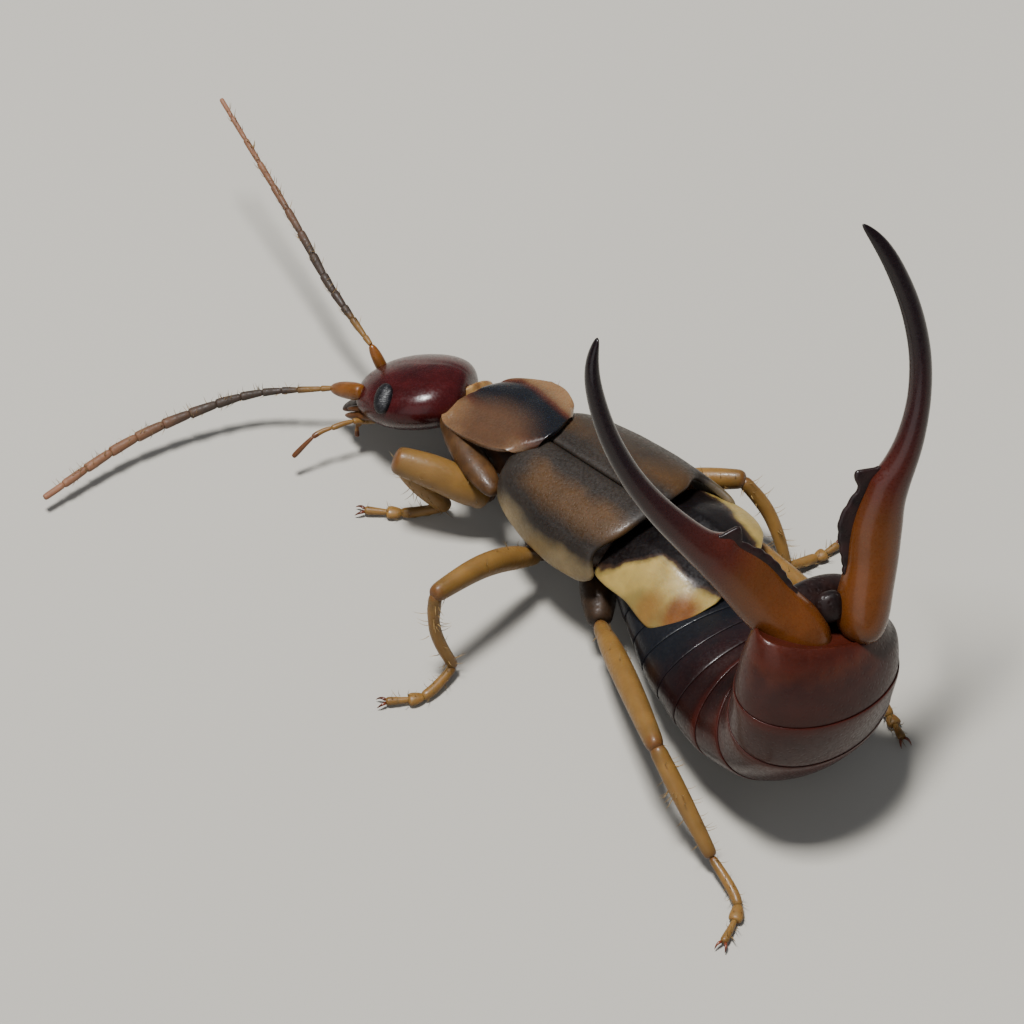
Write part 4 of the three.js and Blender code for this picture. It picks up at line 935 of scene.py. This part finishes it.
class EARWIG_OT_wing_cases(bpy.types.Operator):
    """Model the two wing cases, arched from the middle line over the sides"""
    bl_idname = "earwig.wing_cases"
    bl_label = "Wing Cases"

    def execute(self, context):
        local = WING_CASE.inverted()
        for name, side in SIDES:
            edge = curve(REAR_EDGE[name])

            def spot(u, v, side=side, edge=edge):
                turned = u if side > 0 else 1 - u
                angle = (1 - turned) * math.pi / 2
                corner = max(abs(v - 0.5) - 0.44, 0) / 0.06
                half = WING_CASE_HALF * read(WING_CASE_WIDTHS, v) * (1 - 0.02 * corner)
                half *= 1 if side > 0 else 1.06
                drop = WING_CASE_DROP * read(WING_CASE_DROPS, v)
                x = half * max(math.cos(angle), 0) ** 0.8 if angle < math.pi / 2 - 1e-6 else 0
                z = -drop + drop * math.sin(angle) ** 0.8 if angle > 1e-6 else -drop
                rear = WING_CASE_LENGTH - read(edge, turned)
                ridge = 0.02 * math.exp(-((turned - 0.66) / 0.05) ** 2)
                seam = 0.012 * side * (1 - turned)
                return WING_CASE @ Vector((side * (x - seam), v * rear, z + ridge - 0.03 * corner))

            case = plate("wing_case_" + name, 16, 14, spot, 0.14, 2)

            def across(co):
                p = local @ co
                v = min(max(p.y / WING_CASE_LENGTH, 0), 1)
                drop = WING_CASE_DROP * read(WING_CASE_DROPS, v)
                half = WING_CASE_HALF * read(WING_CASE_WIDTHS, v)
                s = math.atan2(max(p.z + drop, 0) / drop, max(abs(p.x) / half, 0)) / (math.pi / 2)
                return min(max(1 - s, 0), 1)

            mark(case, "across", across)
            keep(case, look("leathery wing case"), "wing_case", "elytron_" + name)
        return {"FINISHED"}


class EARWIG_OT_wing_tips(bpy.types.Operator):
    """Model the pointed ends of the folded wings, which show past the wing cases"""
    bl_idname = "earwig.wing_tips"
    bl_label = "Wing Tips"

    def execute(self, context):
        reaches = {"left": [(0, 1.20), (0.125, 1.27), (0.4, 1.31), (0.59, 1.40), (0.68, 1.42), (0.8, 1.28),
                            (0.89, 1.06), (0.96, 0.78), (1, 0.42)],
                   "right": [(0, 1.2), (0.2, 1.42), (0.45, 1.48), (0.6, 1.42), (0.75, 1.25), (0.88, 0.9),
                             (1, 0.42)]}
        heights = [(0, -0.42), (0.4, -0.36), (0.65, -0.42), (0.85, -0.54), (1, -0.74)]
        # Where the cream part begins, from the middle line, at each place along the wing case's length.
        creams = {"left": [(2.6, 1.15), (2.78, 1.06), (3.19, 0.76), (3.5, 0.52), (4.2, 0.6), (4.6, 0.35)],
                  "right": [(2.6, 1.3), (3.2, 1.2), (3.6, 1.05), (4.2, 0.9), (4.6, 0.6)]}
        local = WING_CASE.inverted()
        for name, side in SIDES:

            def spot(u, v, name=name, side=side):
                u = u if side > 0 else 1 - u
                v = 1 - max(1 - v, 0) ** 1.4
                inner = 0.03 + 0.04 * v
                x = inner + (read(reaches[name], v) - inner) * u
                bulge = 0.07 * math.sin(math.pi * u) * math.sin(math.pi * min(v * 1.05, 1))
                fold = 0.04 * math.exp(-((u - 0.36) / 0.08) ** 2) * math.sin(math.pi * min(v * 1.1, 1))
                z = read(heights, v) - (0.44 if side > 0 else 0.30) * (x / 1.2) ** 2.3 + fold + bulge
                y = WING_CASE_LENGTH - 0.45 + 2.16 * v
                return WING_CASE @ Vector((side * x, y, z))

            tip = plate("wing_tip_flap_" + name, 14, 16, spot, 0.12, 2)

            def across(co, name=name):
                p = local @ co
                return min(max(0.5 + (abs(p.x) - read(creams[name], p.y)) / 1.2, 0), 1)

            mark(tip, "across", across)
            keep(tip, look("cream wing tip"), "wing_tip", "wing_tip_" + name)
        return {"FINISHED"}


class EARWIG_OT_abdomen(bpy.types.Operator):
    """Model the ten rings of the abdomen, each with a lip that laps over the next, and the tail's dome"""
    bl_idname = "earwig.abdomen"
    bl_label = "Abdomen"

    def execute(self, context):
        lip = context.scene.earwig_sizes.ring_lip / MM
        path = smooth_path(ABDOMEN_PATH, 400)
        share = along_path(path[::2])
        for number in range(1, 11):
            a, b = ABDOMEN_EDGES[number - 1], ABDOMEN_EDGES[number]
            steps = [(-0.12, -1.5), (-0.02, -0.55), (0.15, -0.42), (0.5, -0.18), (0.84, 0), (0.94, -0.02),
                     (1.0, -0.3), (0.99, -0.9), (0.9, -1.6)]
            if number == 10:
                steps = [(-0.12, -1.5), (-0.02, -0.55), (0.15, -0.3), (0.4, 0), (0.65, 0), (0.75, -0.3),
                         (0.79, -1.2), (0.775, -2.6), (0.72, -5.0)]
            rows = []
            for t, offset in steps:
                place = a + (b - a) * t
                centre, way = on_path(path, place)
                across = Vector((1, 0, 0)) - way * way.x
                up = across.normalized().cross(way)
                half = ABDOMEN_HALF * read(ABDOMEN_WIDTHS, place) + offset * lip
                back = read(ABDOMEN_BACKS, place) + offset * lip
                belly = read(ABDOMEN_BELLIES, place) + offset * lip
                middle = centre + up * (back - belly) / 2
                if number == 10 and t > 0.4:
                    way = (way - across.normalized() * 0.17).normalized()
                rows.append((at(*middle), way, up, half * MM, (back + belly) / 2 * MM))
            ring = smooth(grow(f"abdomen_ring_{number}", rows, 28))
            mark(ring, "along", share)
            if number > 5:
                rear = b if number < 10 else a + (b - a) * 0.77
                mark(ring, "ring", lambda co: min(max((share(co) - a) / (rear - a), 0), 1))
            keep(ring, look("abdomen cuticle"), "abdomen", f"abdomen_{number}")
        self.tail(path)
        return {"FINISHED"}

    def tail(self, path):
        """The dark end of the back, which closes the last ring behind the forceps."""
        end, way = on_path(path, 1)
        up = Vector((1, 0, 0)).cross(way).normalized()
        up = (up - way * up.dot(way)).normalized()
        rows = []
        for on, rise, half, tall in ((-0.55, 0.16, 0.98, 0.34), (-0.2, 0.2, 1.0, 0.36),
                                     (0.03, 0.22, 0.96, 0.34), (0.14, 0.26, 0.82, 0.28),
                                     (0.24, 0.29, 0.58, 0.2), (0.3, 0.30, 0.26, 0.1), (0.31, 0.30, 0.08, 0.03)):
            rows.append((at(*(end + way * on + up * rise)), way, up, half * MM, tall * MM))
        dome = smooth(grow("tail_dome", rows, 24))
        keep(dome, look("dark tail cuticle"), "abdomen")


class EARWIG_OT_forceps(bpy.types.Operator):
    """Model the two arms of the forceps with their toothed inner ridges, and the plate between them"""
    bl_idname = "earwig.forceps"
    bl_label = "Forceps"

    def execute(self, context):
        for name, side in SIDES:
            rows = FORCEPS_ARMS[name]
            places = [FORCEPS_ROOT + FORCEPS_FORWARD * d + FORCEPS_LEFTWARD * out * side
                      - FORCEPS_ACROSS * read(ARM_SINKS, d) for d, out, _, _ in rows]
            stations = []
            for i, (distance, _, half, ridge) in enumerate(rows):
                before, after = places[max(i - 1, 0)], places[min(i + 1, len(rows) - 1)]
                way = (after - before).normalized()
                outward = way.cross(FORCEPS_ACROSS).normalized() * -side
                depth = read(ARM_DEPTHS, distance)
                body = min(ridge, 0.24) * (0.32 if side > 0 else 0.14)
                middle = places[i] - outward * body
                stations.append((at(*middle), way, FORCEPS_ACROSS, (half + body) * MM, depth * MM))
            arm = smooth(grow("forceps_arm_" + name, stations, 16))
            mark(arm, "along", along_path(smooth_path(places, 120)))
            keep(arm, look("forceps cuticle"), "forceps", "forceps_" + name)
            self.ridge(name, side, rows)
        rows = []
        for d, half, tall in ((-0.4, 0.22, 0.13), (-0.32, 0.26, 0.17), (-0.1, 0.26, 0.18), (0.02, 0.22, 0.15),
                              (0.09, 0.15, 0.1), (0.11, 0.06, 0.04)):
            rows.append((at(*(FORCEPS_ROOT + FORCEPS_FORWARD * d)), FORCEPS_FORWARD, FORCEPS_ACROSS,
                         half * MM, tall * MM))
        keep(smooth(grow("end_plate", rows)), look("dark tail cuticle"), "abdomen", "pygidium")
        return {"FINISHED"}

    def ridge(self, name, side, rows):
        """A thin crenulated blade along the arm's inner side, which ends in the large tooth."""
        outs = [(row[0], row[1]) for row in rows]
        halves = [(row[0], row[2]) for row in rows]
        reaches = [(row[0], row[3]) for row in rows]
        last = 1.66 if side > 0 else 1.70

        def spot(u, v):
            distance = 0.05 + (last - 0.05) * u
            out = read(outs, distance)
            spread = read(outs, distance + 0.04) - out
            way = (FORCEPS_FORWARD * 0.04 + FORCEPS_LEFTWARD * spread * side).normalized()
            outward = way.cross(FORCEPS_ACROSS).normalized() * -side
            half = read(halves, distance)
            notch = 0.022 * abs(math.sin(u * math.pi * 9)) if distance < last - 0.35 else 0
            inner = half + read(reaches, distance) + notch - 0.05 * (u < 0.02)
            reach = half * 0.6 + (inner - half * 0.6) * v
            place = FORCEPS_ROOT + FORCEPS_FORWARD * distance + FORCEPS_LEFTWARD * out * side - outward * reach
            return at(*(place + FORCEPS_ACROSS * 0.045))

        blade = plate("forceps_ridge_" + name, 54, 4, spot, 0.09, 1)
        keep(blade, look("dark ridge cuticle"), "forceps")


class EARWIG_OT_legs(bpy.types.Operator):
    """Model the six legs: hip, thigh, shin and a foot of three joints with two claws, all finely haired"""
    bl_idname = "earwig.legs"
    bl_label = "Legs"

    def execute(self, context):
        foot = context.scene.earwig_sizes.foot_radius / MM
        claw = context.scene.earwig_sizes.claw_radius / MM
        dice = random.Random(7)
        for name, (*places, thigh, shin, lean, bow) in LEGS.items():
            hip, trochanter, knee, ankle, heel, toe, lean = (Vector(p) for p in (*places, lean))
            path = smooth_path([hip, trochanter])
            coxa = limb(name + "_hip", path, [(0, 0.24), (0.06, 0.31), (0.2, 0.33), (0.5, 0.30), (0.8, 0.24),
                                              (0.92, 0.21), (1, 0.14)])
            # The hip finish paints the shade under the body into the hips' colour.
            keep(coxa, look("brown hip cuticle"), "leg", name + "_coxa")
            points = [trochanter, knee]
            if bow:
                points.insert(1, trochanter.lerp(knee, 0.5) + Vector((0, 0, bow)))
            end = (points[-1] - points[-2]).normalized()
            points[-1] = knee + end * shin * 0.55
            path = smooth_path(points)
            thick = thigh * 0.92
            sizes = [(0, 0.45), (0.03, 0.66), (0.08, 0.74), (0.10, 0.70), (0.13, 0.80), (0.24, 0.95), (0.42, 1),
                     (0.62, 0.97), (0.8, 0.88), (0.90, 0.82), (0.955, 0.78), (0.985, 0.62), (1, 0.34)]
            femur = limb(name + "_thigh", path, [(s, 0.88 * thick * r, thick * r) for s, r in sizes])
            self.done(femur, path, name + "_femur")
            spots = hair_spots(dice, path, [(s, 0.92 * thick * r) for s, r in sizes], 16, 0.16)
            path = smooth_path([knee, knee.lerp(ankle, 0.5) + lean, ankle])
            thick = shin * 0.96
            sizes = [(0, 0.5), (0.03, 0.84), (0.08, 0.96), (0.13, 0.92), (0.25, 1.0), (0.45, 0.98), (0.7, 0.88),
                     (0.88, 0.80), (0.96, 0.76), (0.99, 0.62), (1, 0.4)]
            tibia = limb(name + "_shin", path, [(s, thick * r) for s, r in sizes])
            self.done(tibia, path, name + "_tibia")
            spots += hair_spots(dice, path, [(s, thick * r) for s, r in sizes], 34, 0.15)
            path = smooth_path([ankle, heel, toe])
            parts = []
            for a, b, wide, tall, shape in FOOT_JOINTS:
                sizes = [(a + (b - a) * s, foot * wide * r, foot * tall * r) for s, r in shape]
                parts.append(limb(name + "_foot", path, sizes, 10))
            whole = join(name + "_foot", parts)
            self.done(whole, path, name + "_tarsus")
            spots += hair_spots(dice, path, [(0, foot * 0.8), (1, foot * 0.7)], 26, 0.11, 1.0, 0.05, 0.9)
            bristles = scatter(name + "_hairs", hair(), spots)
            keep(bristles, look("fine hair"), "leg")
            end, way = on_path(path, 0.92)
            way.z = 0
            way.normalize()
            across = Vector((-way.y, way.x, 0))
            for k, spread in enumerate((1, -1)):
                bent = smooth_path([end + way * on + across * out * spread + Vector((0, 0, rise))
                                    for on, out, rise in ((0, 0.03, 0), (0.09, 0.08, 0.02), (0.17, 0.09, -0.05))],
                                   60)
                tip = limb(f"{name}_claw_{k + 1}", bent, [(0, claw), (0.35, claw * 0.85), (0.7, claw * 0.5),
                                                          (1, claw * 0.1)], 8)
                keep(tip, look("reddish claw"), "leg")
        return {"FINISHED"}

    def done(self, piece, path, node):
        """Finish a part of a leg, browner toward its joints."""
        mark(piece, "along", along_path(path[::4]))
        keep(piece, look("tan leg cuticle"), "leg", node)


class EARWIG_OT_stage(bpy.types.Operator):
    """Set up the floor, the soft light and the camera"""
    bl_idname = "earwig.stage"
    bl_label = "Stage"

    def execute(self, context):
        start_clean()
        bpy.ops.mesh.primitive_plane_add(size=0.6, location=(0, 0, 0))
        floor = context.active_object
        floor.name = "floor"
        finish, tree, shader, place = start_finish("pale matt floor")
        cloud = add_node(tree, "TexNoise", {"Scale": 40.0, "Detail": 2.0}, {"Vector": place})
        tint = add_node(tree, "ValToRGB", links={"Fac": cloud.outputs["Fac"]},
                        stops=[(0.3, linear("#a5a198")), (0.7, linear("#aaa69d"))])
        tree.links.new(tint.outputs["Color"], shader.inputs["Base Color"])
        shader.inputs["Roughness"].default_value = 0.9
        floor.data.materials.append(finish)

        world = bpy.data.worlds.new("soft room")
        context.scene.world = world
        world.use_nodes = True
        world.node_tree.nodes["Background"].inputs["Color"].default_value = (0.75, 0.82, 0.95, 1)
        world.node_tree.nodes["Background"].inputs["Strength"].default_value = 0.22

        target = at(0.287, 0.601, 0)
        for name, way, size, power in (("key light", (0.11, -0.09, 1.0), 0.05, 1.55),
                                       ("fill light", (1.0, 0.6, 0.7), 0.25, 0.2)):
            bpy.ops.object.light_add(type="AREA", location=target + Vector(way).normalized() * 0.28)
            lamp = context.active_object
            lamp.name = name
            lamp.data.size = size
            lamp.data.energy = power
            lamp.rotation_euler = (target - lamp.location).to_track_quat("-Z", "Y").to_euler()

        right = Vector((-0.760, 0.649, 0)).normalized()
        back = Vector((0.408, 0.478, 0.777)).normalized()
        upward = back.cross(right).normalized()
        right = upward.cross(back)
        bpy.ops.object.camera_add()
        camera = context.active_object
        camera.name = "camera"
        axes = Matrix((right, upward, back)).transposed().to_4x4()
        camera.matrix_world = Matrix.Translation(target + back * CAMERA_DISTANCE * MM) @ axes
        camera.data.sensor_width = SENSOR_WIDTH
        camera.data.lens = SENSOR_WIDTH * CAMERA_DISTANCE / VIEW_WIDTH
        camera.data.clip_start = 0.005
        camera.data.clip_end = 5
        context.scene.camera = camera
        return {"FINISHED"}


# ---------------------------------------------------------------- the add-on

OPERATORS = (EARWIG_OT_head, EARWIG_OT_eyes, EARWIG_OT_mouth, EARWIG_OT_feelers, EARWIG_OT_neck,
             EARWIG_OT_pronotum, EARWIG_OT_thorax, EARWIG_OT_wing_cases, EARWIG_OT_wing_tips,
             EARWIG_OT_abdomen, EARWIG_OT_forceps, EARWIG_OT_legs, EARWIG_OT_stage)


class EARWIG_PT_panel(bpy.types.Panel):
    """The earwig's pieces, sizes and colours"""
    bl_idname = "EARWIG_PT_panel"
    bl_label = "Earwig"
    bl_space_type = "VIEW_3D"
    bl_region_type = "UI"
    bl_category = "Earwig"

    def draw(self, context):
        for group in (context.scene.earwig_sizes, context.scene.earwig_colours):
            box = self.layout.box()
            for name in group.__annotations__:
                box.prop(group, name)
        for operator in OPERATORS:
            self.layout.operator(operator.bl_idname)


CLASSES = (EarwigSizes, EarwigColours, *OPERATORS, EARWIG_PT_panel)


def register():
    for one in CLASSES:
        bpy.utils.register_class(one)
    bpy.types.Scene.earwig_sizes = PointerProperty(type=EarwigSizes)
    bpy.types.Scene.earwig_colours = PointerProperty(type=EarwigColours)


def unregister():
    del bpy.types.Scene.earwig_colours
    del bpy.types.Scene.earwig_sizes
    for one in reversed(CLASSES):
        bpy.utils.unregister_class(one)


def main():
    """Model every piece in order."""
    register()
    bpy.ops.earwig.head()
    bpy.ops.earwig.eyes()
    bpy.ops.earwig.mouth()
    bpy.ops.earwig.feelers()
    bpy.ops.earwig.neck()
    bpy.ops.earwig.pronotum()
    bpy.ops.earwig.thorax()
    bpy.ops.earwig.wing_cases()
    bpy.ops.earwig.wing_tips()
    bpy.ops.earwig.abdomen()
    bpy.ops.earwig.forceps()
    bpy.ops.earwig.legs()
    bpy.ops.earwig.stage()


if __name__ == "__main__":
    main()
